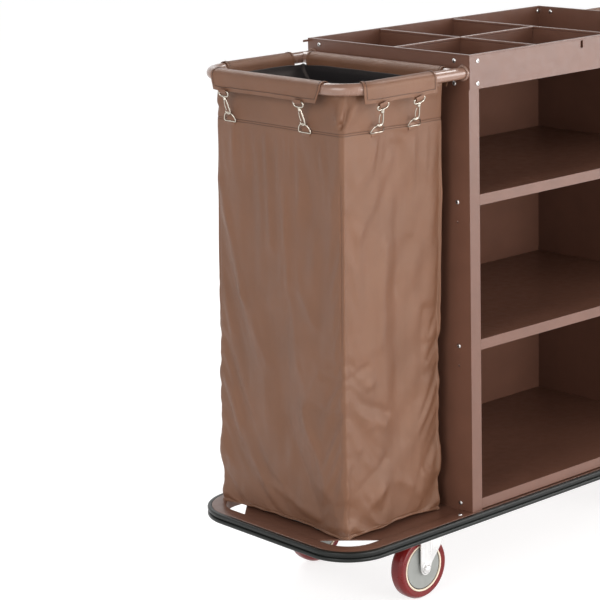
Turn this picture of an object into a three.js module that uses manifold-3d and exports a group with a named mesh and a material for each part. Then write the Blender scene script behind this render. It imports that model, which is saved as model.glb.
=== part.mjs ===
// A hotel housekeeping cart: a steel cabinet with an open tray and three shelves on a wheeled base,
// and a fabric bag hung from a tube hoop at each end.
//
// Millimetres, +Z up. X runs along the cart, the open side of the cabinet faces -Y.
// The origin is on the floor, under the middle of the cart.

import * as THREE from "three";
import { mergeVertices } from "three/addons/utils/BufferGeometryUtils.js";
import Module from "manifold-3d";

const wasm = await Module();
wasm.setup();

// Driving dimensions
const GAP = 0.3;
const SHEET = 2;

const BASE_LENGTH = 1322;
const BASE_DEPTH = 434;
const BASE_CORNER = 85;
const BASE_TOP = 164;
const CHANNEL_WIDTH = 28;
const CHANNEL_HEIGHT = 20;
const CHANNEL_WALL = 2.5;
const DECK_TOP = 162;
const DECK_LIP = 16;
const DECK_CHAMFER = 90;
const LIP_RELIEF = 124;
const BUMPER_REACH = 8;
const BUMPER_HEIGHT = 19;

const CABINET_LENGTH = 666;
const CABINET_DEPTH = 430;
const CABINET_TOP = 1030;
const RIM_HEIGHT = 2.5;
const FASCIA_HEIGHT = 63;
const FASCIA_SHEET = 1.7;
const FRONT_STRIP = 26;
const STRIP_RETURN = 14;
const CORNER_WRAP = 48;
const LAP_START = 12;
const LAP_SLOPE = 60;
const SHELF_TOPS = { shelf_upper: 772, shelf_middle: 498, shelf_lower: 187 };
const SHELF_LIP = 20;
const SHELF_SIDE = 25;
const SHELF_HEM = 8;
const SPARE_HOLE_HEIGHTS = [721, 447];
const HOLE_INSET = 33;
const HOLE_RADIUS = 2.6;
const EAR_REACH = 13;
const EAR_HEIGHT = 4;
const FASCIA_RETURN = 10;
const FASCIA_SLOT = { from: -31, to: -24, low: 19, high: 5 };

const TRAY_FLOOR = 970;
const DIVIDER_TOP = 1029;
const LONG_DIVIDER_Y = -10;
const CROSS_DIVIDERS_X = { tray_divider_left: -143, tray_divider_right: 65 };
const HEM_WIDTH = 5;
const HEM_HEIGHT = 4;

const LAP_HEIGHT = 1000;

const TUBE_RADIUS = 11;
const TUBE_HEIGHT = 997;
const HOOP_END_X = 619;
const HOOP_SIDE_Y = 200;
const HOOP_CORNER = 60;
const HOOP_BAR_X = 359;
const COLLAR_RADIUS = 14.5;
const COLLAR_LENGTH = 4;

const BAG_WALL = 2.5;
const BAG_CORNER = 14;
const FLAP_CLEARANCE = 1.6;
const FLAP_SHEET = 2;
const FLAP_DROP = 25;
const FLAP_ROOT = 22;

const WHEEL_RADIUS = 62.5;
const WHEEL_FACETS = 32;
const TYRE_WIDTH = 32;
const CORE_RADIUS = 47;
const FORK_INNER = 19;
const FORK_SHEET = 3;
const AXLE_RADIUS = 5;
const KINGPIN_RADIUS = 6;
const SWIVEL_TRAIL = 33;
const CASTER_X = 378;
const CASTER_Y = 143.5;
const CASTER_TOP = DECK_TOP - CHANNEL_WALL - GAP;

const HOOK_WIRE = 1.5;
const END_HOOK_TILT = THREE.MathUtils.degToRad(17);
const FRONT_HOOK_TILT = THREE.MathUtils.degToRad(24);
const FRONT_HOOK_LEAN = THREE.MathUtils.degToRad(12);

// Materials
const paint = new THREE.MeshStandardMaterial({ color: 0x7a5646, roughness: 0.5, metalness: 0.3 });
const cloth = new THREE.MeshStandardMaterial({ color: 0x7c5f4f, roughness: 0.75, metalness: 0 });
const rubber = new THREE.MeshStandardMaterial({ color: 0x2e302e, roughness: 0.7, metalness: 0 });
const zinc = new THREE.MeshStandardMaterial({ color: 0xc9c7c6, roughness: 0.3, metalness: 0.9 });
const nickel = new THREE.MeshStandardMaterial({ color: 0xe0dbd2, roughness: 0.2, metalness: 1 });
const hubGrey = new THREE.MeshStandardMaterial({ color: 0xa9aaa6, roughness: 0.45, metalness: 0.2 });
const tyreRed = new THREE.MeshStandardMaterial({ color: 0x8a2a2a, roughness: 0.4, metalness: 0 });

// A closed three.js geometry as a solid that faces outwards.
function solid(geometry) {
  const bare = geometry.index ? geometry.toNonIndexed() : geometry.clone();
  bare.deleteAttribute("normal");
  bare.deleteAttribute("uv");
  const merged = mergeVertices(bare, 1e-3);
  const vertProperties = merged.attributes.position.array;
  const triVerts = new Uint32Array(merged.index.array);
  const made = new wasm.Manifold(new wasm.Mesh({ numProp: 3, vertProperties, triVerts }));
  if (made.volume() > 0) return made;
  const turned = triVerts.slice().reverse();
  return new wasm.Manifold(new wasm.Mesh({ numProp: 3, vertProperties, triVerts: turned }));
}

function join(...solids) {
  return solids.reduce((whole, next) => whole.add(next));
}

function cut(body, ...tools) {
  return tools.reduce((rest, tool) => rest.subtract(tool), body);
}

function geometryOf(made) {
  const mesh = made.getMesh();
  const geometry = new THREE.BufferGeometry();
  geometry.setAttribute("position", new THREE.BufferAttribute(mesh.vertProperties, 3));
  geometry.setIndex(new THREE.BufferAttribute(mesh.triVerts, 1));
  const flat = geometry.toNonIndexed();
  flat.computeVertexNormals();
  return flat;
}

function piece(name, made, material) {
  const mesh = new THREE.Mesh(geometryOf(made), material.clone());
  mesh.name = name;
  return mesh;
}

// Basic shapes
function block(x0, x1, y0, y1, z0, z1) {
  const box = new THREE.BoxGeometry(Math.abs(x1 - x0), Math.abs(y1 - y0), Math.abs(z1 - z0));
  box.translate((x0 + x1) / 2, (y0 + y1) / 2, (z0 + z1) / 2);
  return solid(box);
}

function outline(points) {
  return new THREE.Shape(points.map(([a, b]) => new THREE.Vector2(a, b)));
}

function slab(shape, z0, z1, curveSegments = 8) {
  const made = new THREE.ExtrudeGeometry(shape, { depth: z1 - z0, bevelEnabled: false, curveSegments });
  made.translate(0, 0, z0);
  return solid(made);
}

// A section drawn as [y, z] points, run along X.
function barAlongX(points, x0, x1) {
  const made = new THREE.ExtrudeGeometry(outline(points), { depth: x1 - x0, bevelEnabled: false });
  made.rotateX(Math.PI / 2);
  made.rotateZ(Math.PI / 2);
  made.translate(x0, 0, 0);
  return solid(made);
}

// A section drawn as [x, z] points, run along Y.
function barAlongY(points, y0, y1) {
  const made = new THREE.ExtrudeGeometry(outline(points), { depth: y1 - y0, bevelEnabled: false });
  made.rotateX(Math.PI / 2);
  made.translate(0, y1, 0);
  return solid(made);
}

function rodAlong(axis, radius, from, to, sides = 12) {
  const rod = new THREE.CylinderGeometry(radius, radius, to - from, sides);
  if (axis === "x") rod.rotateZ(Math.PI / 2);
  if (axis === "z") rod.rotateX(Math.PI / 2);
  const middle = (from + to) / 2;
  rod.translate(axis === "x" ? middle : 0, axis === "y" ? middle : 0, axis === "z" ? middle : 0);
  return solid(rod);
}

function roundedRectangle(halfX, halfY, radius) {
  const shape = new THREE.Shape();
  shape.absarc(halfX - radius, halfY - radius, radius, 0, Math.PI / 2);
  shape.absarc(radius - halfX, halfY - radius, radius, Math.PI / 2, Math.PI);
  shape.absarc(radius - halfX, radius - halfY, radius, Math.PI, 1.5 * Math.PI);
  shape.absarc(halfX - radius, radius - halfY, radius, 1.5 * Math.PI, 2 * Math.PI);
  shape.closePath();
  return shape;
}

// The outline of the base, grown or shrunk by an offset.
function baseOutline(offset) {
  return roundedRectangle(BASE_LENGTH / 2 + offset, BASE_DEPTH / 2 + offset, BASE_CORNER + offset);
}

// Base
function baseFrame() {
  const low = BASE_TOP - CHANNEL_HEIGHT;
  const underside = BASE_TOP - CHANNEL_WALL;
  const whole = slab(baseOutline(0), low, BASE_TOP);
  const ring = cut(whole, slab(baseOutline(-CHANNEL_WIDTH), low - 1, BASE_TOP + 1));
  const channel = cut(
    slab(baseOutline(-CHANNEL_WALL), low - 1, underside),
    slab(baseOutline(CHANNEL_WALL - CHANNEL_WIDTH), low - 2, underside + 1),
  );
  return cut(ring, channel);
}

function deckOutline(inset) {
  const x = BASE_LENGTH / 2 - CHANNEL_WIDTH - GAP - inset;
  const y = BASE_DEPTH / 2 - CHANNEL_WIDTH - GAP - inset;
  const c = DECK_CHAMFER - 0.6 * inset;
  return outline([
    [x, y - c],
    [x - c, y],
    [c - x, y],
    [-x, y - c],
    [-x, c - y],
    [c - x, -y],
    [x - c, -y],
    [x, c - y],
  ]);
}

// A plate with a lip under its four straight sides. Its chamfered corners leave openings in the base.
function deckPlate() {
  const pocketTop = DECK_TOP - CHANNEL_WALL;
  const middle = BASE_DEPTH / 2 - CHANNEL_WIDTH - GAP - DECK_CHAMFER / 2;
  const reliefs = [-1, 1].flatMap((sideX) =>
    [-1, 1].map((sideY) => {
      const relief = block(-LIP_RELIEF / 2, LIP_RELIEF / 2, -DECK_LIP, DECK_LIP, 0, pocketTop);
      const x = sideX * (BASE_LENGTH / 2 - CHANNEL_WIDTH - GAP - DECK_CHAMFER / 2);
      return relief.rotate([0, 0, -sideX * sideY * 45]).translate([x, sideY * middle, 0]);
    }),
  );
  const plate = slab(deckOutline(0), DECK_TOP - DECK_LIP, DECK_TOP);
  return cut(plate, slab(deckOutline(SHEET), 0, pocketTop), ...reliefs);
}

// Two rounded ribs with a groove between them, on a thin web.
function bumperStrip() {
  const round = 2.5;
  const ribHeight = 8;
  const low = BASE_TOP - GAP - BUMPER_HEIGHT;
  const rib = (z) => {
    const options = {
      depth: ribHeight - 2 * round,
      bevelThickness: round,
      bevelSize: round,
      bevelSegments: 2,
      curveSegments: 8,
    };
    const made = new THREE.ExtrudeGeometry(baseOutline(BUMPER_REACH - round), options);
    made.translate(0, 0, z + round);
    return solid(made);
  };
  const web = slab(baseOutline(BUMPER_REACH / 2), low, low + BUMPER_HEIGHT);
  const whole = join(web, rib(low), rib(low + BUMPER_HEIGHT - ribHeight));
  return cut(whole, slab(baseOutline(GAP), low - 1, BASE_TOP + 1));
}

// Cabinet
const PANEL_X = CABINET_LENGTH / 2;
const FRONT_Y = -CABINET_DEPTH / 2;
const REAR_Y = CABINET_DEPTH / 2;
const PANEL_TOP = CABINET_TOP - RIM_HEIGHT - GAP;

function mirrorX(points, side) {
  return points.map(([x, y]) => [side * x, y]);
}

// An end panel with its front strip. Towards the rear it thickens inwards and laps behind the back
// panel's wrap, as far as the inside corner.
function endPanel(side) {
  const strip = FRONT_Y + FASCIA_SHEET + GAP;
  const seam = REAR_Y - CORNER_WRAP - GAP;
  const lap = PANEL_X - SHEET - GAP;
  const corner = REAR_Y - SHEET - GAP;
  const section = mirrorX(
    [
      [PANEL_X, strip],
      [PANEL_X - FRONT_STRIP, strip],
      [PANEL_X - FRONT_STRIP, strip + STRIP_RETURN],
      [PANEL_X - FRONT_STRIP + SHEET, strip + STRIP_RETURN],
      [PANEL_X - FRONT_STRIP + SHEET, strip + SHEET],
      [PANEL_X - SHEET, strip + SHEET],
      [PANEL_X - SHEET, seam - LAP_START - LAP_SLOPE],
      [lap - SHEET, seam - LAP_START],
      [lap - SHEET, corner],
      [lap, corner],
      [lap, seam],
      [PANEL_X, seam],
    ],
    side,
  );
  const sheet = slab(outline(section), DECK_TOP + GAP, PANEL_TOP);
  const flangeInner = BASE_DEPTH / 2 - CHANNEL_WIDTH - GAP;
  const overFlange = [-1, 1].map((end) =>
    block(-PANEL_X - 1, PANEL_X + 1, end * flangeInner, end * REAR_Y, 0, BASE_TOP + GAP),
  );
  const inside = side * (PANEL_X - SHEET - 0.1);
  const behindFascia = block(
    inside,
    side * (PANEL_X - FRONT_STRIP - 1),
    strip + SHEET + 0.1,
    strip + STRIP_RETURN + 1,
    CABINET_TOP - FASCIA_HEIGHT,
    CABINET_TOP,
  );
  const holes = SPARE_HOLE_HEIGHTS.flatMap((height) =>
    [-1, 1].map((end) => {
      const hole = rodAlong("x", HOLE_RADIUS, -PANEL_X - 5, PANEL_X + 5, 8);
      return hole.translate([0, end * (REAR_Y - HOLE_INSET), height]);
    }),
  );
  return cut(sheet, ...overFlange, behindFascia, ...holes);
}

// The back panel wraps round both rear corners, and its top hem ends in a small ear at each side.
function backPanel() {
  const wrap = REAR_Y - CORNER_WRAP;
  const section = [
    [-PANEL_X, wrap],
    [SHEET - PANEL_X, wrap],
    [SHEET - PANEL_X, REAR_Y - SHEET],
    [PANEL_X - SHEET, REAR_Y - SHEET],
    [PANEL_X - SHEET, wrap],
    [PANEL_X, wrap],
    [PANEL_X, REAR_Y],
    [-PANEL_X, REAR_Y],
  ];
  const earLow = PANEL_TOP - EAR_HEIGHT;
  const ears = [-1, 1].map((side) =>
    block(side * (PANEL_X - 1), side * (PANEL_X + EAR_REACH), REAR_Y - SHEET, REAR_Y, earLow, PANEL_TOP),
  );
  return join(slab(outline(section), BASE_TOP + GAP, PANEL_TOP), ...ears);
}

function fascia() {
  const low = CABINET_TOP - FASCIA_HEIGHT;
  const inner = FRONT_Y + FASCIA_SHEET;
  const returnX = PANEL_X - FRONT_STRIP - 2;
  const plate = block(-PANEL_X, PANEL_X, FRONT_Y, inner, low, PANEL_TOP);
  const lowerReturn = block(-returnX, returnX, FRONT_Y, inner + FASCIA_RETURN, low, low + FASCIA_SHEET);
  const { from, to, low: slotDrop, high: slotTop } = FASCIA_SLOT;
  const slot = block(from, to, FRONT_Y - 1, inner + 1, CABINET_TOP - slotDrop, CABINET_TOP - slotTop);
  return cut(join(plate, lowerReturn), slot);
}

// The pan hangs inside the cabinet from a rim that covers the edges of the panels.
function trayPan() {
  const x = PANEL_X - 2 * SHEET - 0.8;
  const y = REAR_Y - 2 * SHEET - 0.4;
  const pan = block(-x, x, -y, y, TRAY_FLOOR, CABINET_TOP);
  const rim = block(-PANEL_X, PANEL_X, FRONT_Y, REAR_Y, CABINET_TOP - RIM_HEIGHT, CABINET_TOP);
  const inside = block(SHEET - x, x - SHEET, SHEET - y, y - SHEET, TRAY_FLOOR + SHEET, CABINET_TOP + 1);
  return cut(join(pan, rim), inside);
}

function dividerSection(centre) {
  const web = SHEET / 2;
  const hem = HEM_WIDTH / 2;
  const low = TRAY_FLOOR + SHEET + GAP;
  return [
    [centre - web, low],
    [centre + web, low],
    [centre + web, DIVIDER_TOP - HEM_HEIGHT - 1],
    [centre + hem, DIVIDER_TOP - HEM_HEIGHT],
    [centre + hem, DIVIDER_TOP - 1],
    [centre + hem - 1, DIVIDER_TOP],
    [centre - hem + 1, DIVIDER_TOP],
    [centre - hem, DIVIDER_TOP - 1],
    [centre - hem, DIVIDER_TOP - HEM_HEIGHT],
    [centre - web, DIVIDER_TOP - HEM_HEIGHT - 1],
  ];
}

// The lengthwise divider is notched from above where the left cross divider passes through it.
function longDivider() {
  const from = -(PANEL_X - 3 * SHEET - 0.8 - GAP);
  const to = CROSS_DIVIDERS_X.tray_divider_right - HEM_WIDTH / 2 - GAP;
  const crossing = CROSS_DIVIDERS_X.tray_divider_left;
  const slit = SHEET / 2 + GAP;
  const wide = HEM_WIDTH / 2 + GAP;
  return cut(
    barAlongX(dividerSection(LONG_DIVIDER_Y), from, to),
    block(crossing - slit, crossing + slit, LONG_DIVIDER_Y - 9, LONG_DIVIDER_Y + 9, LAP_HEIGHT, CABINET_TOP),
    block(
      crossing - wide,
      crossing + wide,
      LONG_DIVIDER_Y - 9,
      LONG_DIVIDER_Y + 9,
      DIVIDER_TOP - HEM_HEIGHT - 1 - GAP,
      CABINET_TOP,
    ),
  );
}

function crossDivider(x, notched) {
  const reach = REAR_Y - 3 * SHEET - 0.4 - GAP;
  const bar = barAlongY(dividerSection(x), -reach, reach);
  if (!notched) return bar;
  const slit = SHEET / 2 + GAP;
  return cut(bar, block(x - 9, x + 9, LONG_DIVIDER_Y - slit, LONG_DIVIDER_Y + slit, 0, LAP_HEIGHT + GAP));
}

// A shelf with a front lip between the strips and a screwed side flange against each end panel.
function shelf(top) {
  const x = PANEL_X - 2 * SHEET - 2 * GAP;
  const between = PANEL_X - FRONT_STRIP - GAP;
  const front = FRONT_Y + FASCIA_SHEET + GAP;
  const behindReturn = front + STRIP_RETURN + GAP;
  const rear = REAR_Y - SHEET - GAP;
  const under = top - SHEET;
  const wide = block(-x, x, behindReturn, rear, under, top);
  const plate = join(wide, block(-between, between, front, rear, under, top));
  const lip = block(-between, between, front, front + SHEET, top - SHELF_LIP, top);
  const low = top - SHELF_LIP;
  const hem = block(-between, between, front, front + SHELF_HEM, low, low + SHEET);
  const drop = Math.min(SHELF_SIDE, top - BASE_TOP - 2);
  const flange = (side) => block(side * x, side * (x - SHEET), behindReturn, rear, top - drop, top);
  const sides = [-1, 1].map(flange);
  return join(plate, lip, hem, ...sides);
}

// Bag holder
class StationPath extends THREE.Curve {
  constructor(points, tangents) {
    super();
    this.points = points;
    this.tangents = tangents;
  }

  blend(list, t) {
    const place = Math.min(Math.max(t, 0), 1) * (list.length - 1);
    const index = Math.min(Math.floor(place), list.length - 2);
    return list[index].clone().lerp(list[index + 1], place - index);
  }

  getPoint(t) {
    return this.blend(this.points, t);
  }

  getPointAt(t) {
    return this.getPoint(t);
  }

  getTangent(t) {
    return this.blend(this.tangents, t).normalize();
  }

  getTangentAt(t) {
    return this.getTangent(t);
  }
}

function regularOutline(radius, sides) {
  const corner = (i) => {
    const angle = ((i + 0.5) * 2 * Math.PI) / sides;
    return [radius * Math.cos(angle), radius * Math.sin(angle)];
  };
  return outline(Array.from({ length: sides }, (_, i) => corner(i)));
}

// A round bar of one radius through the stations of a path.
function bentRod(points, tangents, radius, sides) {
  const extrudePath = new StationPath(points, tangents);
  const steps = points.length - 1;
  const options = { extrudePath, steps, bevelEnabled: false };
  return solid(new THREE.ExtrudeGeometry(regularOutline(radius, sides), options));
}

// The stations of an arc in the plane spanned by two directions, with its tangents.
function arcStations(centre, first, second, radius, turn, count) {
  const points = [];
  const tangents = [];
  for (let i = 0; i <= count; i += 1) {
    const angle = (turn * i) / count;
    const outward = first.clone().multiplyScalar(Math.cos(angle)).addScaledVector(second, Math.sin(angle));
    const along = second.clone().multiplyScalar(Math.cos(angle)).addScaledVector(first, -Math.sin(angle));
    points.push(centre.clone().addScaledVector(outward, radius));
    tangents.push(along);
  }
  return { points, tangents };
}

function hoop(side) {
  const root = side * (PANEL_X + GAP);
  const bend = side * (HOOP_END_X - HOOP_CORNER);
  const sideways = new THREE.Vector3(side, 0, 0);
  const forward = new THREE.Vector3(0, -1, 0);
  const rearward = new THREE.Vector3(0, 1, 0);
  const y = HOOP_SIDE_Y - HOOP_CORNER;
  const quarter = Math.PI / 2;
  const frontBend = new THREE.Vector3(bend, -y, TUBE_HEIGHT);
  const rearBend = new THREE.Vector3(bend, y, TUBE_HEIGHT);
  const front = arcStations(frontBend, forward, sideways, HOOP_CORNER, quarter, 6);
  const rear = arcStations(rearBend, sideways, rearward, HOOP_CORNER, quarter, 6);
  const start = new THREE.Vector3(root, -HOOP_SIDE_Y, TUBE_HEIGHT);
  const end = new THREE.Vector3(root, HOOP_SIDE_Y, TUBE_HEIGHT);
  const points = [start, ...front.points, ...rear.points, end];
  const inward = sideways.clone().negate();
  const tangents = [sideways, ...front.tangents, ...rear.tangents, inward];
  return bentRod(points, tangents, TUBE_RADIUS, 12);
}

// The bar between the two sides of the hoop, with its ends cut to fit the tube.
function hoopBar(side) {
  const bar = rodAlong("y", TUBE_RADIUS, -HOOP_SIDE_Y, HOOP_SIDE_Y);
  const saddles = [-1, 1].map((end) =>
    rodAlong("x", TUBE_RADIUS + 0.6, -3 * TUBE_RADIUS, 3 * TUBE_RADIUS).translate([0, end * HOOP_SIDE_Y, 0]),
  );
  return cut(bar, ...saddles).translate([side * HOOP_BAR_X, 0, TUBE_HEIGHT]);
}

function hoopCollar() {
  const bore = TUBE_RADIUS + GAP + 0.3;
  const half = COLLAR_LENGTH / 2;
  const profile = [
    [bore, -half],
    [COLLAR_RADIUS, -half],
    [COLLAR_RADIUS, half - 1.5],
    [COLLAR_RADIUS - 1.5, half],
    [bore, half],
    [bore, -half],
  ];
  const ring = new THREE.LatheGeometry(profile.map(([r, y]) => new THREE.Vector2(r, y)), 16);
  ring.rotateZ(Math.PI / 2);
  return solid(ring);
}

// Bag: a tapering box of cloth with an open top, and a flap folded over each of the four tubes.
const BAG_RINGS = [
  { z: DECK_TOP + 0.5, inner: 355, outer: 599, front: -149, rear: 187 },
  { z: 380, inner: 358, outer: 604, front: -154, rear: 186 },
  { z: 580, inner: 359, outer: 606, front: -160, rear: 179 },
  { z: 760, inner: 360, outer: 609, front: -168, rear: 172 },
  { z: 920, inner: 363, outer: 612, front: -175, rear: 165 },
  { z: 980, inner: 372, outer: 606, front: -187, rear: 187 },
];

function bagLoop(side, ring, inset, z) {
  const x0 = ring.inner + inset;
  const x1 = ring.outer - inset;
  const y0 = ring.front + inset;
  const y1 = ring.rear - inset;
  const c = BAG_CORNER;
  const corners = [
    [x0 + c, y0],
    [x1 - c, y0],
    [x1, y0 + c],
    [x1, y1 - c],
    [x1 - c, y1],
    [x0 + c, y1],
    [x0, y1 - c],
    [x0, y0 + c],
  ];
  return corners.map(([x, y]) => new THREE.Vector3(side * x, y, z));
}

// A closed skin through a stack of convex loops of equal length.
function loft(loops) {
  const count = loops[0].length;
  const triangles = [];
  for (let level = 0; level < loops.length - 1; level += 1) {
    const low = loops[level];
    const high = loops[level + 1];
    for (let i = 0; i < count; i += 1) {
      const j = (i + 1) % count;
      triangles.push(low[i], low[j], high[j], low[i], high[j], high[i]);
    }
  }
  const bottom = loops[0];
  const top = loops[loops.length - 1];
  for (let i = 1; i < count - 1; i += 1) {
    triangles.push(bottom[0], bottom[i + 1], bottom[i], top[0], top[i], top[i + 1]);
  }
  return solid(new THREE.BufferGeometry().setFromPoints(triangles));
}

// The section of a flap: outer leg, half turn over the tube, inner leg. Positive a points away from the bag.
function flapSection() {
  const near = TUBE_RADIUS + FLAP_CLEARANCE;
  const far = near + FLAP_SHEET;
  const arc = (radius, from, to) =>
    Array.from({ length: 7 }, (_, i) => {
      const angle = from + ((to - from) * i) / 6;
      return [radius * Math.cos(angle), radius * Math.sin(angle)];
    });
  return [
    [near, -FLAP_DROP],
    [far, -FLAP_DROP],
    ...arc(far, 0, Math.PI),
    [-far, -FLAP_ROOT],
    [-near, -FLAP_ROOT],
    ...arc(near, Math.PI, 0),
  ];
}

function flapAlongX(y, outward, x0, x1) {
  const points = flapSection().map(([a, b]) => [y + outward * a, TUBE_HEIGHT + b]);
  return barAlongX(points, Math.min(x0, x1), Math.max(x0, x1));
}

function flapAlongY(x, outward, y0, y1) {
  const points = flapSection().map(([a, b]) => [x + outward * a, TUBE_HEIGHT + b]);
  return barAlongY(points, y0, y1);
}

function bag(side) {
  const last = BAG_RINGS.length - 1;
  const outer = BAG_RINGS.map((ring) => bagLoop(side, ring, 0, ring.z));
  const inner = BAG_RINGS.map((ring, i) => {
    const lift = i === 0 ? BAG_WALL : 0;
    return bagLoop(side, ring, BAG_WALL, ring.z + lift + (i === last ? 1 : 0));
  });
  const flaps = [
    flapAlongX(-HOOP_SIDE_Y, -1, side * 412, side * 566),
    flapAlongX(HOOP_SIDE_Y, 1, side * 394, side * 559),
    flapAlongY(side * HOOP_END_X, side, -138, 148),
    flapAlongY(side * HOOP_BAR_X, -side, -178, 178),
  ];
  return join(cut(loft(outer), loft(inner)), ...flaps);
}

// Snap hook, hanging from its bail: local X along the flap, local -Y away from the bag.
const BAIL_HALF = 12.5;
const BAIL_DROP = 9;
const NECK_END = -17;
const HOOK_END = -38;
const GATE_TOP = { x: -4.2, z: -19 };

function wire(from, to, radius, sides = 6) {
  const start = new THREE.Vector3(...from);
  const end = new THREE.Vector3(...to);
  const tangent = end.clone().sub(start).normalize();
  return bentRod([start, end], [tangent, tangent], radius, sides);
}

function snapHook() {
  const w = HOOK_WIRE;
  const over = w * 0.5;
  const bail = join(
    wire([-BAIL_HALF - over, 0, 0], [BAIL_HALF + over, 0, 0], w),
    wire([-BAIL_HALF - over, 0, -BAIL_DROP], [BAIL_HALF + over, 0, -BAIL_DROP], w),
    wire([-BAIL_HALF, 0, over], [-BAIL_HALF, 0, -BAIL_DROP - over], w),
    wire([BAIL_HALF, 0, over], [BAIL_HALF, 0, -BAIL_DROP - over], w),
  );
  const neck = rodAlong("z", 3.2, NECK_END, -BAIL_DROP + 0.5, 8);
  const across = new THREE.Vector3(1, 0, 0);
  const down = new THREE.Vector3(0, 0, -1);
  const centre = new THREE.Vector3(-1.5, 0, HOOK_END);
  const turn = arcStations(centre, across, down, 6.2, Math.PI * 0.94, 8);
  const points = [new THREE.Vector3(2.2, 0, NECK_END + 1), ...turn.points];
  const tangents = [new THREE.Vector3(0, 0, -1), ...turn.tangents];
  return join(bail, neck, bentRod(points, tangents, w, 6));
}

// The sprung gate: a short wire from its pivot at the neck to just inside the nose of the hook.
function hookGate() {
  return wire([GATE_TOP.x, 0, GATE_TOP.z], [-4.6, 0, HOOK_END + 1.5], 1.1);
}

// Casters, built with the plate's centre over the local origin and the floor at local zero
function topPlate() {
  return block(-47, 47, -35, 35, CASTER_TOP - 3, CASTER_TOP);
}

const RACE_SPLIT = 146;
const CROWN_TOP = 137;

function swivelPlate() {
  const race = rodAlong("z", 24, RACE_SPLIT, CASTER_TOP - 1, 20);
  return cut(join(topPlate(), race), rodAlong("z", KINGPIN_RADIUS + GAP, 0, CASTER_TOP + 1));
}

function swivelFork() {
  const side = [
    [-46, CROWN_TOP],
    [22, CROWN_TOP],
    [21, 118],
    [-21, 67],
    [-22, 54],
    [-27, 48],
    [-39, 48],
    [-45, 54],
  ];
  const outer = FORK_INNER + FORK_SHEET;
  const legs = [-1, 1].map((end) => {
    const near = end * FORK_INNER;
    const far = end * outer;
    return barAlongY(side, Math.min(near, far), Math.max(near, far));
  });
  const crown = block(-46, 22, -outer, outer, CROWN_TOP - FORK_SHEET, CROWN_TOP);
  const race = rodAlong("z", 27, CROWN_TOP - 1, RACE_SPLIT - GAP, 20);
  return cut(
    join(crown, race, ...legs),
    rodAlong("z", KINGPIN_RADIUS + GAP, 0, CASTER_TOP),
    rodAlong("y", AXLE_RADIUS + GAP, -40, 40).translate([-SWIVEL_TRAIL, 0, WHEEL_RADIUS]),
  );
}

function kingpin() {
  const under = CROWN_TOP - FORK_SHEET - 0.6;
  const pin = rodAlong("z", KINGPIN_RADIUS, under - 4, CASTER_TOP - 0.2);
  return join(pin, rodAlong("z", 9, under - 5, under, 6));
}

function fixedBracket() {
  const side = [
    [-28, CASTER_TOP - 2],
    [28, CASTER_TOP - 2],
    [26, 138],
    [12, 56],
    [7, 49],
    [-7, 49],
    [-12, 56],
    [-26, 138],
  ];
  const legs = [-1, 1].map((end) => {
    const near = end * FORK_INNER;
    const far = end * (FORK_INNER + FORK_SHEET);
    return barAlongY(side, Math.min(near, far), Math.max(near, far));
  });
  const bore = rodAlong("y", AXLE_RADIUS + GAP, -40, 40).translate([0, 0, WHEEL_RADIUS]);
  return cut(join(topPlate(), ...legs), bore);
}

function axleBolt() {
  const face = FORK_INNER + FORK_SHEET + GAP;
  return join(
    rodAlong("y", AXLE_RADIUS, -face - 2, face + 2),
    rodAlong("y", 8.5, -face - 5, -face, 6),
    rodAlong("y", 8.5, face, face + 5, 6),
  );
}

function turned(profile, facets) {
  const points = [...profile, profile[0]].map(([r, y]) => new THREE.Vector2(r, y));
  return solid(new THREE.LatheGeometry(points, facets, Math.PI / facets));
}

function wheelCore() {
  const bore = AXLE_RADIUS + GAP;
  const boss = FORK_INNER - 0.5;
  return turned(
    [
      [bore, -boss],
      [12, -boss],
      [12, -14],
      [42, -14],
      [42.6, -15],
      [CORE_RADIUS, -15],
      [CORE_RADIUS, 15],
      [42.6, 15],
      [42, 14],
      [12, 14],
      [12, boss],
      [bore, boss],
    ],
    20,
  );
}

// The tread's facets are tangent to the wheel's true radius, with one facet flat on the floor.
function tyre() {
  const grow = 1 / Math.cos(Math.PI / WHEEL_FACETS);
  const inner = CORE_RADIUS + GAP;
  const half = TYRE_WIDTH / 2;
  return turned(
    [
      [inner, -half + 1.5],
      [56, -half],
      [60, -half + 1.5],
      [WHEEL_RADIUS * grow, -half + 6],
      [WHEEL_RADIUS * grow, half - 6],
      [60, half - 1.5],
      [56, half],
      [inner, half - 1.5],
    ],
    WHEEL_FACETS,
  );
}

function wheelSet(label, x) {
  const wheel = new THREE.Group();
  wheel.position.set(x, 0, WHEEL_RADIUS);
  wheel.add(piece(`caster_axle_${label}`, axleBolt(), zinc));
  wheel.add(piece(`caster_wheel_${label}`, wheelCore(), hubGrey));
  wheel.add(piece(`caster_tyre_${label}`, tyre(), tyreRed));
  return wheel;
}

function swivelCaster(label) {
  const caster = new THREE.Group();
  caster.add(piece(`caster_plate_${label}`, swivelPlate(), zinc));
  caster.add(piece(`caster_fork_${label}`, swivelFork(), zinc));
  caster.add(piece(`caster_kingpin_${label}`, kingpin(), zinc));
  caster.add(wheelSet(label, -SWIVEL_TRAIL));
  return caster;
}

function fixedCaster(label) {
  const caster = new THREE.Group();
  caster.add(piece(`caster_bracket_${label}`, fixedBracket(), zinc));
  caster.add(wheelSet(label, 0));
  return caster;
}

// Assembly
const cart = new THREE.Group();

cart.add(piece("base_frame", baseFrame(), paint));
cart.add(piece("deck_plate", deckPlate(), paint));
cart.add(piece("bumper_strip", bumperStrip(), rubber));

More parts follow.
